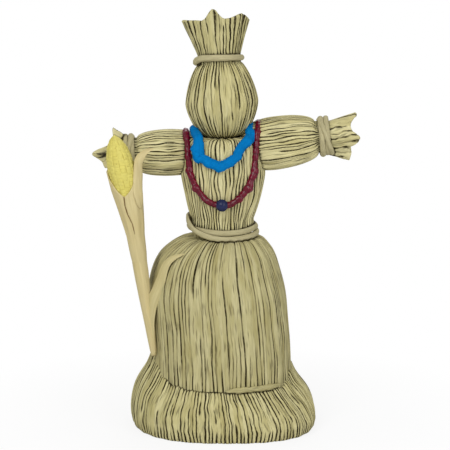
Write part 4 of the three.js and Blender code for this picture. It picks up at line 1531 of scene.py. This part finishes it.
# Twine: points of the path for each chosen one, points round it, points over which its ends are rounded, and
# its unevenness
TWINE_STEPS = 26
TWINE_SIDES = 14
TWINE_TIP = 6
TWINE_UNEVEN = 0.05
# Plies of the twine, their turn for each point, and the depth between them
PLIES = 3
PLY_TURN = 0.12
PLY_DEPTH = 0.02


@dataclass
class Tie:
    """A piece of twine round a bundle, through listed points.

    Attributes:
        name: Name of the piece.
        nodes: Solids that it stands for.
        radius: Radius of the twine at its start and at its end.
        half_width: Half width of the bundle.
        depth_ratio: The bundle's depth as a share of its width.
        route: Angle in degrees, level, and distance off the bundle, of each point.
        seed: Seed of the twine's unevenness.
        flat: Thickness of the twine as a share of its width.
    """

    name: str
    nodes: tuple[str, ...]
    radius: Pair
    half_width: float
    depth_ratio: float
    route: list[Triple]
    seed: int
    flat: float = 0.85

    def patch(self) -> Patch:
        """Winds the twine.

        Returns:
            The twine's patch about +Z.
        """
        rng = np.random.default_rng(self.seed)
        angle, level, off = np.array(self.route, dtype=float).T
        angle = np.radians(angle)
        girth = np.interp(np.arange(len(angle)), [0, len(angle) - 1], self.radius)
        wide = self.half_width + girth * self.flat + off
        deep = self.half_width * self.depth_ratio + girth * self.flat + off
        points = np.stack([wide * np.sin(angle), -deep * np.cos(angle), level], axis=1)
        steps = TWINE_STEPS * len(points)
        path = smooth_route(points, steps)
        along = np.linspace(0, 1, steps)
        tip = np.minimum(along, 1 - along) * steps / TWINE_TIP
        round_end = np.sqrt(np.clip(tip, 0.04, 1))
        turn = angles_round(TWINE_SIDES)
        ply = np.cos(PLIES * turn[None] + PLY_TURN * np.arange(steps)[:, None])
        uneven = TWINE_UNEVEN * waves(rng, TWINE_SIDES, along, (4, 14))
        thick = np.interp(along, [0, 1], self.radius)[:, None]
        radius = thick * round_end[:, None] * (1 + PLY_DEPTH * ply + uneven)
        # Painted shade on the side against the bundle, and a little between the plies
        under = 0.9 * ease((0.3 - np.cos(turn)) / 0.6)
        wash_and_shade = held(0.2 * ease((-ply - 0.6) / 0.4) + under)
        return Patch.plain(tube(path, radius, TWINE_SIDES, self.flat, path * LEVEL_PART), rng, wash_and_shade)

    def build(self, wardrobe: Wardrobe, place: Callable[[Array], Array] | None = None) -> None:
        """Makes and dresses the tie.

        Args:
            wardrobe: Finishes.
            place: Moves the points to the bundle, if it isn't upright at the middle.
        """
        patch = self.patch()
        if place is not None:
            place(patch.points)
        piece = make_piece(self.name, [patch])
        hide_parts(*self.nodes)
        wardrobe.dress(piece, TWINE)
        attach(piece, Body.DOLL.value)


def waist_twine() -> Tie:
    """Two turns of twine, the outer one lifted at the doll's right and dipped at the front.

    Returns:
        The tie.
    """
    inner = [(-190, 82.6, 0), (-150, 82.2, 0), (-110, 81.6, 0), (-75, 81.2, 0), (-50, 80.9, 0),
             (-25, 80.4, 0), (0, 80, 0), (25, 80.1, 0), (45, 80.4, 0), (70, 80.9, 0), (95, 81.3, 0),
             (140, 82.6, 0), (180, 83.7, 0.2)]
    outer = [(220, 84.7, 0.2), (252, 85.1, 0.1), (276, 84.6, 0.2), (296, 82.8, 0.9), (314, 80.8, 1.6),
             (332, 79.1, 1.3), (350, 78, 0.8), (367, 77.6, 0.6), (385, 77.7, 0.6), (405, 78, 0.6),
             (425, 78.4, 0.6), (450, 79.1, 0.5), (490, 79.8, 0.4), (530, 80.2, 0.2)]
    return Tie("waist_twine", ("waist_tie",), radius=(1.15, 1.25), half_width=12.2, depth_ratio=0.9,
               route=inner + outer, seed=51)


def crown_twine() -> Tie:
    """One turn of thicker twine, with its end hanging at the doll's right.

    Returns:
        The tie.
    """
    route = [(-82, 146.2, 0), (-70, 147.6, 0.4), (-50, 148.6, 0.3), (-25, 148.9, 0.1), (0, 148.8, 0),
             (25, 148.6, 0), (60, 148.2, -0.2), (92, 147.8, -0.3), (140, 147.8, -0.1), (190, 147.8, 0),
             (235, 147.6, 0), (275, 147, -0.6), (300, 146.6, -1)]
    return Tie("crown_twine", ("crown_tie",), radius=(1.4, 0.9), half_width=8.1, depth_ratio=0.95,
               route=route, seed=52)


def wrist_twine(arm: Arm) -> Tie:
    """Two and a bit turns at a wrist, one of them crossing the others.

    Args:
        arm: The arm that it binds.

    Returns:
        The tie, along the arm.
    """
    level = arm.wrist_reach
    turns = [(-200, -1.5, 0), (-120, -1.5, 0), (-60, -1.4, 0), (0, -1.1, 0.1), (60, -0.8, 0.1),
             (120, -0.5, 0), (180, -0.2, 0), (240, 0.2, 0), (300, 0.5, 0.1), (350, 0.9, 0.2), (390, 1.2, 0.2),
             (450, 1.5, 0), (520, 1.5, 0), (580, 1.7, 0), (640, 2, 0.2), (672, 1.9, 0.7), (700, 1.2, 1.2),
             (735, 0.2, 1.2), (770, -0.8, 0.9), (810, -1.6, 0.2)]
    sign = -arm.side.value
    route = [(sign * angle, level + along, off) for angle, along, off in turns]
    nodes = (f"{arm.title}_wrist_tie",) + (("right_wrist_knot",) if arm.side is Side.RIGHT else ())
    name, seed = f"{arm.title}_wrist_twine", 53 + arm.side.value
    return Tie(name, nodes, radius=(1.3, 0.9), half_width=arm.wrist_radius, depth_ratio=arm.depth_ratio,
               route=route, seed=seed)


# Strands

# Points along a strand and round it, rounds of smoothing, and the width and the bend of its half at the nape
STRAND_STEPS = 560
STRAND_SIDES = 18
STRAND_SMOOTHINGS = 6
NAPE_GATHER = 0.6
NAPE_BEND = 6
# Roundness of a bead, spread of the beads' sizes, and strength and waves of the coarse and the fine lumps
BEAD_ROUNDNESS = 0.6
BEAD_SPREAD = 0.9
STRAND_LUMPS = ((0.1, (14, 40)), (0.07, (40, 90)))
# Distance in millimetres from which the chest is looked for, and the height that the strands face out from
FAR = 80
CHEST_HEIGHT = 95


@dataclass
class Strand:
    """A strand round the neck: over the shoulders, down the chest and low behind.

    Attributes:
        name: Name of the piece.
        nodes: Solids that it stands for.
        body: Not used.
        half_width: Distance of its sides from the middle.
        radius: Radius of the strand.
        lowest: Height of its lowest point in front.
        nape: Height of its lowest point behind.
        flat: Thickness as a share of the width.
        bob: How far the lowest point stands off the chest.
        gather: Width at the chest, on the right and the left, as a share of the width at the shoulders.
        bend: How late the strand draws in, on the right and the left.
        hang: Share of the width, and of the drop, of each point down the front.
        knobs: X, height and size of the larger lumps.
        pitch: Length of one bead, or of one nodule.
        pinch: How far the strand draws in between them.
        seed: Seed of its unevenness.
        shoulder: Height of the arms' middle line.
        skew: How far the lowest point lies to the doll's left.
        perch: Height of its middle line over the right and the left shoulder.
    """

    name: str
    nodes: tuple[str, str]
    body: Body
    half_width: float
    radius: float
    lowest: float
    nape: float
    flat: float
    bob: float
    gather: Pair
    bend: tuple[int, int]
    hang: list[Pair]
    knobs: list[Triple]
    pitch: float
    pinch: float
    seed: int
    shoulder: float = 110.64
    skew: float = 0
    perch: Pair = (0, 0)

    def half(self, ground: BVHTree, side: Side, facing: float, lowest: float) -> Array:
        """Route of one half, from the top of the shoulder to the middle.

        Args:
            ground: Torso and sleeves, in metres.
            side: Side of the doll.
            facing: -1 for the front and 1 for the back.
            lowest: Height at the middle.

        Returns:
            Points of the half, the middle one last.
        """
        off = self.radius * self.flat * 0.8
        hang = smooth_route(np.array([(w, d, 0.0) for w, d in self.hang]), 12)[1:, :2]
        wide = side.value * self.half_width
        gather, bend = self.gather[side is Side.LEFT], self.bend[side is Side.LEFT]
        if facing > 0:
            gather, bend = NAPE_GATHER, NAPE_BEND
        points = []
        for turn in np.linspace(0, math.pi / 2, 7):
            outward = np.array([0, facing * math.sin(turn), math.cos(turn)])
            inward = 1 + (gather - 1) * math.sin(turn) ** bend
            stand = off * math.sin(turn) + self.perch[side is Side.LEFT] * math.cos(turn)
            points.append(land(ground, np.array([wide * inward, 0, self.shoulder]), outward, stand))
        for share, drop in hang:
            level = self.shoulder + (lowest - self.shoulder) * drop
            target = np.array([wide * gather * share + self.skew * (1 - share), 0, level])
            point = land(ground, target, np.array([0.0, facing, 0.0]), off)
            point[1] += facing * self.bob * (1 - share) ** 2
            points.append(point)
        return np.array(points)

    def route(self, ground: BVHTree) -> Array:
        """Closed route round the neck.

        Args:
            ground: Torso and sleeves, in metres.

        Returns:
            Points of the route, from the doll's right shoulder down its chest.
        """
        front_right = self.half(ground, Side.RIGHT, -1, self.lowest)
        front_left = self.half(ground, Side.LEFT, -1, self.lowest)[::-1]
        back_left = self.half(ground, Side.LEFT, 1, self.nape)
        back_right = self.half(ground, Side.RIGHT, 1, self.nape)[::-1]
        legs = [front_right, front_left[1:], back_left[1:], back_right[1:-1]]
        rough = smooth_route(np.concatenate(legs), STRAND_STEPS, loop=True)
        for _ in range(STRAND_SMOOTHINGS):
            rough = (np.roll(rough, 1, axis=0) + 2 * rough + np.roll(rough, -1, axis=0)) / 4
        return rough

    def build(self, wardrobe: Wardrobe, ground: BVHTree, finish: Finish, slot: str) -> None:
        """Makes and dresses the strand.

        Args:
            wardrobe: Finishes.
            ground: Torso and sleeves that it lies on.
            finish: Its finish.
            slot: Not used.
        """
        rng = np.random.default_rng(self.seed)
        steps, sides = STRAND_STEPS, STRAND_SIDES
        path = self.route(ground)
        walked = Profile(np.concatenate([path, path[:1]])).walked
        count = round(walked[-1] / self.pitch)
        along = walked[:-1] / walked[-1]
        beads = np.abs(np.sin(math.pi * along * count)) ** BEAD_ROUNDNESS
        sizes = 1 + BEAD_SPREAD * rng.uniform(-1, 1, count)
        swelled = self.pinch * sizes[(along * count).astype(int) % count]
        radius = self.radius * (1 - self.pinch + swelled * beads)
        turn = angles_round(sides)
        lumps = sum(strength * waves(rng, sides, along, cycles) for strength, cycles in STRAND_LUMPS)
        section = radius[:, None] * (1 + lumps)
        for x, height, size in self.knobs:
            # The closest point in front, since those behind count as far away
            middle = np.argmin((path[:, 0] - x) ** 2 + (path[:, 2] - height) ** 2 + 1e3 * (path[:, 1] > 0))
            apart = np.minimum((np.arange(steps) - middle) % steps, (middle - np.arange(steps)) % steps)
            swell = np.exp(-((apart * walked[-1] / steps / (1.1 * size + 0.6)) ** 2))
            bulge = held(np.sin(turn) * 0.8 + 0.35)
            section = section + size * swell[:, None] * bulge[None]
        away = np.where(path[:, 1] < 0, -14.0, 14.0)
        normal = np.stack([0.4 * path[:, 0], away, 0.35 * (path[:, 2] - CHEST_HEIGHT)], axis=1)
        # Painted shade in the narrow gaps between the beads
        between = held(4 * self.pinch * (1 - beads)[:, None] ** 2)
        wash_and_shade = np.broadcast_to(between, section.shape)
        patch = Patch.plain(tube(path, section, sides, self.flat, normal), rng, wash_and_shade, loop=True)
        piece = make_piece(self.name, [patch])
        wardrobe.dress(piece, finish)
        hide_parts(*self.nodes)
        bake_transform(piece)


def land(ground: BVHTree, target: Array, outward: Array, off: float) -> Array:
    """Outermost point of the ground on the way in to a target, moved off it.

    Args:
        ground: What to land on, in metres.
        target: Point to aim at.
        outward: Direction that the ray comes from.
        off: Distance to stand off.

    Returns:
        The point, or the target where nothing is hit.
    """
    far = Vector((target + FAR * outward) * MM)
    hit = ground.ray_cast(far, Vector(-outward))[0]
    met = target if hit is None else np.array(hit) / MM
    return met + outward * off


def ground_of(pieces: list[Piece]) -> BVHTree:
    """Search tree over several pieces.

    Args:
        pieces: The pieces.

    Returns:
        The tree, in metres.
    """
    points: list[Vector] = []
    faces: list[list[int]] = []
    for piece in pieces:
        first = len(points)
        points += [vertex.co.copy() for vertex in piece.data.vertices]
        faces += [[first + index for index in face.vertices] for face in piece.data.polygons]
    return BVHTree.FromPolygons(points, faces)


def blue_strand() -> Strand:
    """The chunky blue strand.

    Returns:
        The strand.
    """
    return Strand(
        "blue_bead_strand", ("blue_strand", "blue_strand_nape"), Body.BLUE,
        half_width=11, radius=1.85, lowest=107.4, nape=112, flat=0.8, bob=0.3, gather=(0.78, 0.52),
        bend=(2, 11),
        hang=[(1, 0), (0.82, 0.25), (0.56, 0.58), (0.28, 0.88), (0, 1)],
        knobs=[(-11, 113.4, 1.7), (-9, 109.8, 0.6), (-5.5, 107, 0.5), (-1, 105.5, 0.7), (4, 107.4, 0.3),
               (12, 117.8, 1.3), (11, 115, 0.5)],
        pitch=4.2, pinch=0.03, seed=61, skew=-0.7, perch=(1.4, -0.4))


def red_strand(pendant: Vector) -> Strand:
    """The glossy red strand, which carries the pendant at its lowest point.

    Args:
        pendant: Middle of the pendant, in metres.

    Returns:
        The strand.
    """
    return Strand(
        "red_bead_strand", ("red_strand", "red_strand_nape"), Body.RED,
        half_width=14.4, radius=1.28, lowest=pendant.z / MM, nape=106, flat=1, bob=1.2, gather=(0.92, 0.92),
        bend=(2, 2),
        hang=[(1, 0), (0.95, 0.23), (0.9, 0.43), (0.7, 0.72), (0.42, 0.92), (0.2, 0.995), (0, 1)],
        knobs=[(-13.6, 104.5, 0.7), (-11.3, 97.5, 0.6), (12.8, 104.5, 1.1), (10, 98.7, 1), (-6, 94, 0.3),
               (6.5, 94.6, 0.3)],
        pitch=2.6, pinch=0.15, seed=62, perch=(-0.2, -1))


@dataclass
class Pendant:
    """The round navy bead on the red strand."""

    radius: float = 2.4
    bore: float = 1.0
    rings: int = 30
    sides: int = 44
    dents: float = 0.02

    def build(self, wardrobe: Wardrobe) -> None:
        """Makes and dresses the bead where its solid is.

        Args:
            wardrobe: Finishes.
        """
        low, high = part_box("pendant_bead")
        middle = np.array((low + high) / 2) / MM
        rng = np.random.default_rng(71)
        reach = math.acos(self.bore / self.radius)
        turn = np.linspace(-reach, reach, self.rings)[:, None]
        round_ = angles_round(self.sides)[None]
        dent = 1 + self.dents * waves(rng, self.sides, np.linspace(0, 1, self.rings), (0.5, 2))
        ring = self.radius * np.cos(turn) * dent
        x = np.broadcast_to(self.radius * np.sin(turn), ring.shape)
        points = np.stack([x, ring * np.cos(round_), ring * np.sin(round_)], axis=-1) + middle
        piece = make_piece("pendant_navy_bead", [Patch.plain(points, rng)])
        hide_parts("pendant_bead")
        wardrobe.dress(piece, NAVY)
        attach(piece, Body.PENDANT.value)


# Corn


@dataclass
class Staff:
    """The ear of corn on its stalk, with the husk, its curled leaf and the side leaf on the skirt.

    Attributes:
        sway: Level along the staff, and how far it lies to the doll's left there.
        solid_bow: Bow of the solid stalk.
        solid_top: Level of the solid stalk's top.
        length: Length of the solid staff.
        foot_height: Height from which the levels count.
        stalk_base: Level of the stalk's lower end.
        stalk_top: Level of its upper end, inside the husk.
        stalk_girth: Level, and the stalk's radius there.
        cob_base: Level of the ear's lower end.
        cob_top: Level of its tip.
        cob_radius: Radius of the ear.
        cob_shape: Share of the ear's length, and of its radius.
        kernel_rows: Rows of kernels round the ear.
        kernels: Kernels in a row.
        kernel_height: How far a kernel stands out.
        sheath_base: Level of the husk's lower end.
        sheath_floor: Level of the bottom of its inside.
        sheath_rim: Angle in degrees, and level of the husk's rim.
        sheath_girth: Level, and the husk's radius there.
        sheath_crack: Level, and angle in degrees of the crack in the husk.
        curl_route: Points along the curled leaf.
        curl_width: Share of its length, and its half width.
        leaf_stations: Points along the side leaf, each with its half width.
        foot: The point that the levels count from.
        turn: Matrix that leans the staff.
    """

    sway: Table = (
        (0, 1.6), (10, 2.1), (22, 2.2), (32, 2.05), (53, 2), (62, 1.9), (70, 1.6), (78, 1), (84, 0.4),
        (92, -0.1), (99, -0.5))
    solid_bow: float = 1.4
    solid_top: float = 62
    length: float = 97
    foot_height: float = 22
    stalk_base: float = 9
    stalk_top: float = 60
    stalk_girth: Table = ((9, 0.9), (11, 1.3), (22, 1.95), (32, 2.35), (43, 2.9), (60, 3.1))
    cob_base: float = 69
    cob_top: float = 98.6
    cob_radius: float = 5.1
    cob_shape: Table = (
        (0, 0.3), (0.03, 0.7), (0.1, 0.93), (0.3, 1.04), (0.55, 1.06), (0.7, 0.98), (0.84, 0.76),
        (0.94, 0.42), (1, 0.03))
    kernel_rows: int = 14
    kernels: int = 20
    kernel_height: float = 0.22
    sheath_base: float = 44
    sheath_floor: float = 68
    sheath_rim: Table = (
        (-180, 86), (-120, 85.5), (-90, 84.2), (-60, 80.6), (-40, 77.8), (-25, 75.8), (-12, 74.4), (0, 74.9),
        (15, 76.2), (31, 78), (50, 81), (75, 85), (120, 86), (180, 86))
    sheath_girth: Table = (
        (44, 2.5), (50, 3.2), (53, 3.4), (58, 3.6), (64, 4.4), (70, 5.2), (77, 6), (90, 6.1))
    sheath_crack: Table = ((59.3, 1), (63.5, -2), (67.3, -15.6), (70.8, -18), (74, -12.8))
    curl_route: Table = (
        (4.1, -3.4, 69), (4.4, -4.2, 72.5), (4.6, -4.1, 75.8), (5.2, -3.2, 79), (6, -2.2, 82),
        (7.2, -1.6, 86.6), (9, -1.2, 89.1), (11.5, -1, 90.6), (14, -1, 91.1))
    curl_width: Table = (
        (0, 0.4), (0.08, 1.6), (0.22, 2.1), (0.5, 2.1), (0.68, 1.8), (0.8, 1.5), (0.9, 1.1), (0.97, 0.7),
        (1, 0.25))
    leaf_stations: Table = (
        (-27.2, -14, 31.2, 0.4), (-27.5, -14.5, 38, 0.9), (-27.9, -14.9, 45, 1.3), (-27.7, -15.2, 50.4, 1.9),
        (-26.9, -15.6, 54.4, 2.5), (-25, -15.9, 58.9, 2.5), (-23.4, -15.9, 64, 2.1), (-22.5, -15.9, 67, 1.9),
        (-20.9, -16.1, 69.6, 1.6), (-18.2, -16.6, 71.5, 1), (-14.8, -17.2, 72.8, 0.25))
    foot: Array = field(init=False)
    turn: Array = field(init=False)

    def __post_init__(self) -> None:
        """Reads the stalk's foot and lean from the frame."""
        lean = next(j["axis"] for j in frame["joints"] if j["name"] == "staff_lift")
        self.turn = np.array(Vector((0, 0, 1)).rotation_difference(Vector(lean)).to_matrix())
        stalk = np.array([vertex.co for vertex in frame["nodes"]["corn_stalk"].data.vertices]) / MM
        upper = stalk[stalk[:, 2] > stalk[:, 2].max() - 2].mean(0)
        bow = self.solid_bow * math.sin(math.pi * self.solid_top / self.length)
        self.foot = upper - self.turn @ np.array([bow, 0, 0])
        self.foot = self.foot - np.array(lean) * (upper[2] - self.foot_height) / lean[2]

    def place(self, points: Array) -> Array:
        """Bows points built along +Z and stands them on the stalk's foot, in place.

        Args:
            points: Points along +Z.

        Returns:
            The same points.
        """
        points[..., 0] += read_off(self.sway, points[..., 2])
        points[:] = points @ self.turn.T + self.foot
        return points

    def round_piece(self, levels: Array, radius: Array, angle: Array) -> Array:
        """Grid of points about +Z from levels and radii."""
        return oval(radius, 1, angle, np.broadcast_to(levels, radius.shape))

    def finish(
        self, wardrobe: Wardrobe, name: str, patch: Patch, node: str, finish: Finish, slot: str
    ) -> None:
        """Makes, dresses and seats one piece of the staff.

        Args:
            wardrobe: Finishes.
            name: Name of the piece.
            patch: Its patch.
            node: The solid that it stands for.
            finish: Its finish.
            slot: Not used.
        """
        piece = make_piece(name, [patch])
        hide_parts(node)
        wardrobe.dress(piece, finish)
        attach(piece, Body.STAFF.value)

    def stalk(self, wardrobe: Wardrobe) -> None:
        """The plain stalk, faintly ribbed.

        Args:
            wardrobe: Finishes.
        """
        rng = np.random.default_rng(81)
        rows, sides, ribs = 60, 48, 9
        levels = np.linspace(self.stalk_base, self.stalk_top, rows)[:, None]
        angle = angles_round(sides)[None]
        girth = read_off(self.stalk_girth, levels)
        rib = 0.05 * np.cos(ribs * angle + 0.02 * levels)
        rib = rib + 0.05 * waves(rng, sides, np.linspace(0, 1, rows))
        points = self.place(self.round_piece(levels, girth + rib, angle))
        self.finish(wardrobe, "stalk_stem", Patch.plain(points, rng), "corn_stalk", HUSK, "husk")

    def cob(self, wardrobe: Wardrobe) -> None:
        """The ear, with its rows of kernels.

        Args:
            wardrobe: Finishes.
        """
        rng = np.random.default_rng(82)
        share = np.linspace(0.004, 0.996, 150)[:, None]
        sides, squareness = self.kernel_rows * 10, 4
        turn = np.linspace(0, 1, sides, endpoint=False)[None]
        swell = read_off(self.cob_shape, share)
        row = turn * self.kernel_rows
        column = share * self.kernels + 0.5 * (np.floor(row) % 2) + 0.1 * np.sin(FULL_TURN * row / 5)
        bump = (1 - (2 * (row % 1) - 1) ** squareness) * (1 - (2 * (column % 1) - 1) ** squareness)
        size = 0.85 + 0.3 * rng.uniform(size=(self.kernels + 2, self.kernel_rows))
        plump = size[np.floor(column).astype(int), np.floor(row).astype(int)]
        fade = ease(share / 0.1) * ease((1 - share) / 0.06)
        radius = self.cob_radius * swell - 0.2 + self.kernel_height * bump * plump * fade
        levels = self.cob_base + (self.cob_top - self.cob_base) * share
        points = self.place(self.round_piece(levels, np.maximum(radius, 0.12), FULL_TURN * turn))
        # Painted shade between the kernels, uneven along the ear
        pits = held(0.5 + waves(rng, points.shape[1], share[:, 0], (2, 9)))
        patch = Patch.plain(points, rng, 0.5 * (1 - bump) ** 2 * pits * np.clip(fade, 0.2, 1))
        patch.tone[:] = held(plump - 0.6 + 0.3 * (1 - share))
        self.finish(wardrobe, "ear_kernels", patch, "corn_cob", CORN, "corn")

    def sheath(self, wardrobe: Wardrobe) -> None:
        """The husk round the foot of the ear, open in a V at the front.

        Args:
            wardrobe: Finishes.
        """
        rng = np.random.default_rng(83)
        share = np.linspace(0, 1, 90)[:, None]
        sides, pleats = 120, 11
        angle = angles_round(sides)[None]
        degrees = turned_from(np.degrees(angle), 0)
        rim = read_off(self.sheath_rim, degrees)
        rim_share, over_share, inside_share = 0.8, 0.05, 0.85
        out = held(share / rim_share)
        over = held((share - rim_share) / over_share)
        down = held((share - inside_share) / (1 - inside_share))
        level = self.sheath_base + (rim - self.sheath_base) * out - (rim - self.sheath_floor) * down
        level = level + 0.15 * np.sin(math.pi * over)
        girth = read_off(self.sheath_girth, level) - 0.62 * over - 0.2 * down
        pleat = 0.1 * np.cos(pleats * angle + 0.5 * np.sin(3 * angle)) * ease((level - 52) / 10) * (1 - over)
        crack = read_off(self.sheath_crack, level)
        split = hump(degrees - crack, 0, 2.4) * ease((level - 58.5) / 1.5) * (out < 1)
        points = self.round_piece(level, girth + pleat - 0.35 * split, angle)
        # Painted shade in the crack and on the inside below the rim
        wash_and_shade = held(0.95 * split + 0.6 * ease(down * 2) * (level < rim - 2))
        patch = Patch.plain(self.place(points), rng, wash_and_shade)
        self.finish(wardrobe, "husk_wrap", patch, "husk_sheath", HUSK, "husk")

    def curled_leaf(self, wardrobe: Wardrobe) -> None:
        """The husk leaf on the doll's side of the ear, curling away at its tip.

        Args:
            wardrobe: Finishes.
        """
        rng = np.random.default_rng(84)
        steps, sides, flat = 70, 20, 0.3
        path = smooth_route(np.array(self.curl_route), steps)
        walk = np.linspace(0, 1, steps)
        width = read_off(self.curl_width, walk)
        toward = np.tile(np.array([0.58, -0.8, 0.1]), (steps, 1))
        toward[:, 2] += 0.9 * ease((walk - 0.55) / 0.3)
        points = self.place(tube(path, width, sides, flat, toward))
        self.finish(wardrobe, "husk_curl", Patch.plain(points, rng), "husk_leaf", HUSK, "husk")

    def side_leaf(self, wardrobe: Wardrobe) -> None:
        """The leaf that forks from the stalk and lies up the skirt.

        Args:
            wardrobe: Finishes.
        """
        rng = np.random.default_rng(85)
        steps, sides, flat = 80, 22, 0.26
        stations = np.array(self.leaf_stations)
        path = smooth_route(stations[:, :3], steps)
        walked = Profile(stations[:, :3]).walked
        walk = np.linspace(0, 1, steps)
        width = np.interp(walk, walked / walked[-1], stations[:, 3])
        upper = ease((walk - 0.4) / 0.4)[:, None]
        toward = np.array([-0.3, -0.95, 0.1]) + upper * np.array([-0.2, 0.15, 0.3])
        points = tube(path, width, sides, flat, toward)
        self.finish(wardrobe, "skirt_side_leaf", Patch.plain(points, rng), "stalk_leaf", LEAF, "husk")

    def build(self, wardrobe: Wardrobe) -> None:
        """Makes every piece of the staff."""
        for make in (self.stalk, self.cob, self.sheath, self.curled_leaf, self.side_leaf):
            make(wardrobe)


# Studio

WHITE = (1, 1, 1, 1)


@dataclass
class Studio:
    """Camera, soft lights and the pale floor, in metres."""

    distance: float = 0.7
    elevation: float = 10
    target: Triple = (0.0012, 0, 0.0813)
    lens: float = 140
    sensor: float = 36
    all_round: float = 0.27
    floor_half: float = 3
    floor_shade: float = 0.86
    floor_whiteness: Table = ((0.04, 0.86), (0.13, 1))
    lamp_size: float = 0.8
    lamps: tuple[tuple[str, Triple, float], ...] = (
        ("key_lamp", (-0.45, -0.95, 0.85), 10),
        ("fill_lamp", (0.75, -0.85, 0.5), 5),
        ("back_lamp", (0.1, 0.9, 0.8), 4),
    )

    def camera(self) -> None:
        """Sets the camera at the photograph's angle."""
        data = bpy.data.cameras.new("studio_camera")
        data.lens, data.sensor_width = self.lens, self.sensor
        camera = bpy.data.objects.new("studio_camera", data)
        angle = math.radians(self.elevation)
        away = Vector((0, -math.cos(angle), math.sin(angle))) * self.distance
        camera.location = Vector(self.target) + away
        camera.rotation_euler = (math.pi / 2 - angle, 0, 0)
        bpy.context.scene.collection.objects.link(camera)
        bpy.context.scene.camera = camera

    def lamp(self, name: str, place: Triple, power: float) -> None:
        """Adds a soft square lamp that faces the doll.

        Args:
            name: Name of the lamp.
            place: Where it hangs, in metres.
            power: Its power in watts.
        """
        data = bpy.data.lights.new(name, "AREA")
        data.size, data.energy = self.lamp_size, power
        lamp = bpy.data.objects.new(name, data)
        lamp.location = place
        lamp.rotation_euler = (Vector(self.target) - Vector(place)).to_track_quat("-Z", "Y").to_euler()
        bpy.context.scene.collection.objects.link(lamp)

    def seen(self, bench: NodeBench) -> Socket:
        """Tells what is looked at from what only lights the doll.

        Args:
            bench: Nodes to add to.

        Returns:
            Socket that is 1 where the camera, a gloss or a glass looks, and 0 for light.
        """
        rays = bench.add("LightPath").outputs
        mirrored = bench.reckon("ADD", rays["Is Glossy Ray"], rays["Is Transmission Ray"], clamp=True)
        return bench.reckon("ADD", rays["Is Camera Ray"], mirrored, clamp=True)

    def world(self) -> None:
        """Even light all round, with a white backdrop."""
        world = bpy.data.worlds.new("studio_world")
        bpy.context.scene.world = world
        bench = NodeBench(world)
        output = bench.add("OutputWorld")
        light = bench.add("Background", {"Color": WHITE, "Strength": self.all_round})
        backdrop = bench.add("Background", {"Color": WHITE, "Strength": 1})
        both = bench.add("MixShader")
        bench.link(self.seen(bench), both.inputs[0])
        bench.link(light.outputs[0], both.inputs[1])
        bench.link(backdrop.outputs[0], both.inputs[2])
        bench.link(both.outputs[0], output.inputs["Surface"])

    def floor(self) -> None:
        """A pale floor that keeps a faint shadow."""
        mesh = bpy.data.meshes.new("studio_floor")
        half = self.floor_half
        corners = [(-half, -half, 0), (half, -half, 0), (half, half, 0), (-half, half, 0)]
        mesh.from_pydata(corners, [], [(0, 1, 2, 3)])
        floor = bpy.data.objects.new("studio_floor", mesh)
        bpy.context.scene.collection.objects.link(floor)
        bench = NodeBench(bpy.data.materials.new("pale_floor"))
        output = bench.add("OutputMaterial")
        paint = bench.add("BsdfDiffuse", {"Color": (*[self.floor_shade] * 3, 1)})
        glow, both = bench.add("Emission", {"Color": WHITE}), bench.add("MixShader")
        away = bench.add("VectorMath", operation="LENGTH")
        bench.link(bench.add("TexCoord").outputs["Object"], away.inputs[0])
        white = bench.span(away.outputs["Value"], *self.floor_whiteness)
        bench.link(bench.reckon("MULTIPLY", self.seen(bench), white), both.inputs[0])
        bench.link(paint.outputs[0], both.inputs[1])
        bench.link(glow.outputs[0], both.inputs[2])
        bench.link(both.outputs[0], output.inputs["Surface"])
        mesh.materials.append(bench.owner)

    def build(self) -> None:
        """Sets up the whole studio."""
        bpy.context.scene.view_settings.view_transform = "Standard"
        self.camera()
        self.world()
        self.floor()
        for lamp in self.lamps:
            self.lamp(*lamp)


# Half width of the foot's front, where the painted shade under the hem is darker
FOOT_FRONT = 24
# Pieces that get painted shade close to the pieces named after them
NEIGHBOURS = {
    "skirt_straws": ("waist_twine",),
    "foot_straws": ("skirt_straws",),
    "torso_straws": ("waist_twine", "blue_bead_strand", "red_bead_strand", "head_straws"),
    "head_straws": ("crown_twine", "torso_straws", "blue_bead_strand"),
    "topknot_husk": ("crown_twine",),
    "left_sleeve_straws": ("left_wrist_twine", "red_bead_strand", "torso_straws"),
    "right_sleeve_straws": ("right_wrist_twine", "red_bead_strand", "torso_straws", "husk_curl"),
    "left_hand_husk": ("left_wrist_twine",),
    "right_hand_husk": ("right_wrist_twine", "ear_kernels"),
    "waist_twine": ("torso_straws", "skirt_straws"),
    "crown_twine": ("head_straws", "topknot_husk"),
    "left_wrist_twine": ("left_sleeve_straws", "left_hand_husk"),
    "right_wrist_twine": ("right_sleeve_straws", "right_hand_husk"),
}


def main() -> None:
    """Builds the doll piece by piece in its studio."""
    logging.basicConfig(level=logging.INFO, format="%(name)s %(message)s")
    Studio().build()
    wardrobe = Wardrobe()
    Skirts().build(wardrobe)
    torso = Torso().build(wardrobe)
    head = Head()
    head.build(wardrobe)
    arms = [right_arm(), left_arm()]
    sleeves = [arm.build(wardrobe) for arm in arms]
    waist_twine().build(wardrobe)
    crown_twine().build(wardrobe, head.lean)
    for arm in arms:
        wrist_twine(arm).build(wardrobe, arm.place)
    ground = ground_of([torso, *sleeves])
    low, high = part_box("pendant_bead")
    blue_strand().build(wardrobe, ground, BLUE, "blue_beads")
    red_strand((low + high) / 2).build(wardrobe, ground, RED, "red_beads")
    Pendant().build(wardrobe)
    Staff().build(wardrobe)
    for name, beside in NEIGHBOURS.items():
        wardrobe.pool(name, beside, FOOT_FRONT if name == "foot_straws" else math.inf)


if __name__ == "__main__":
    main()
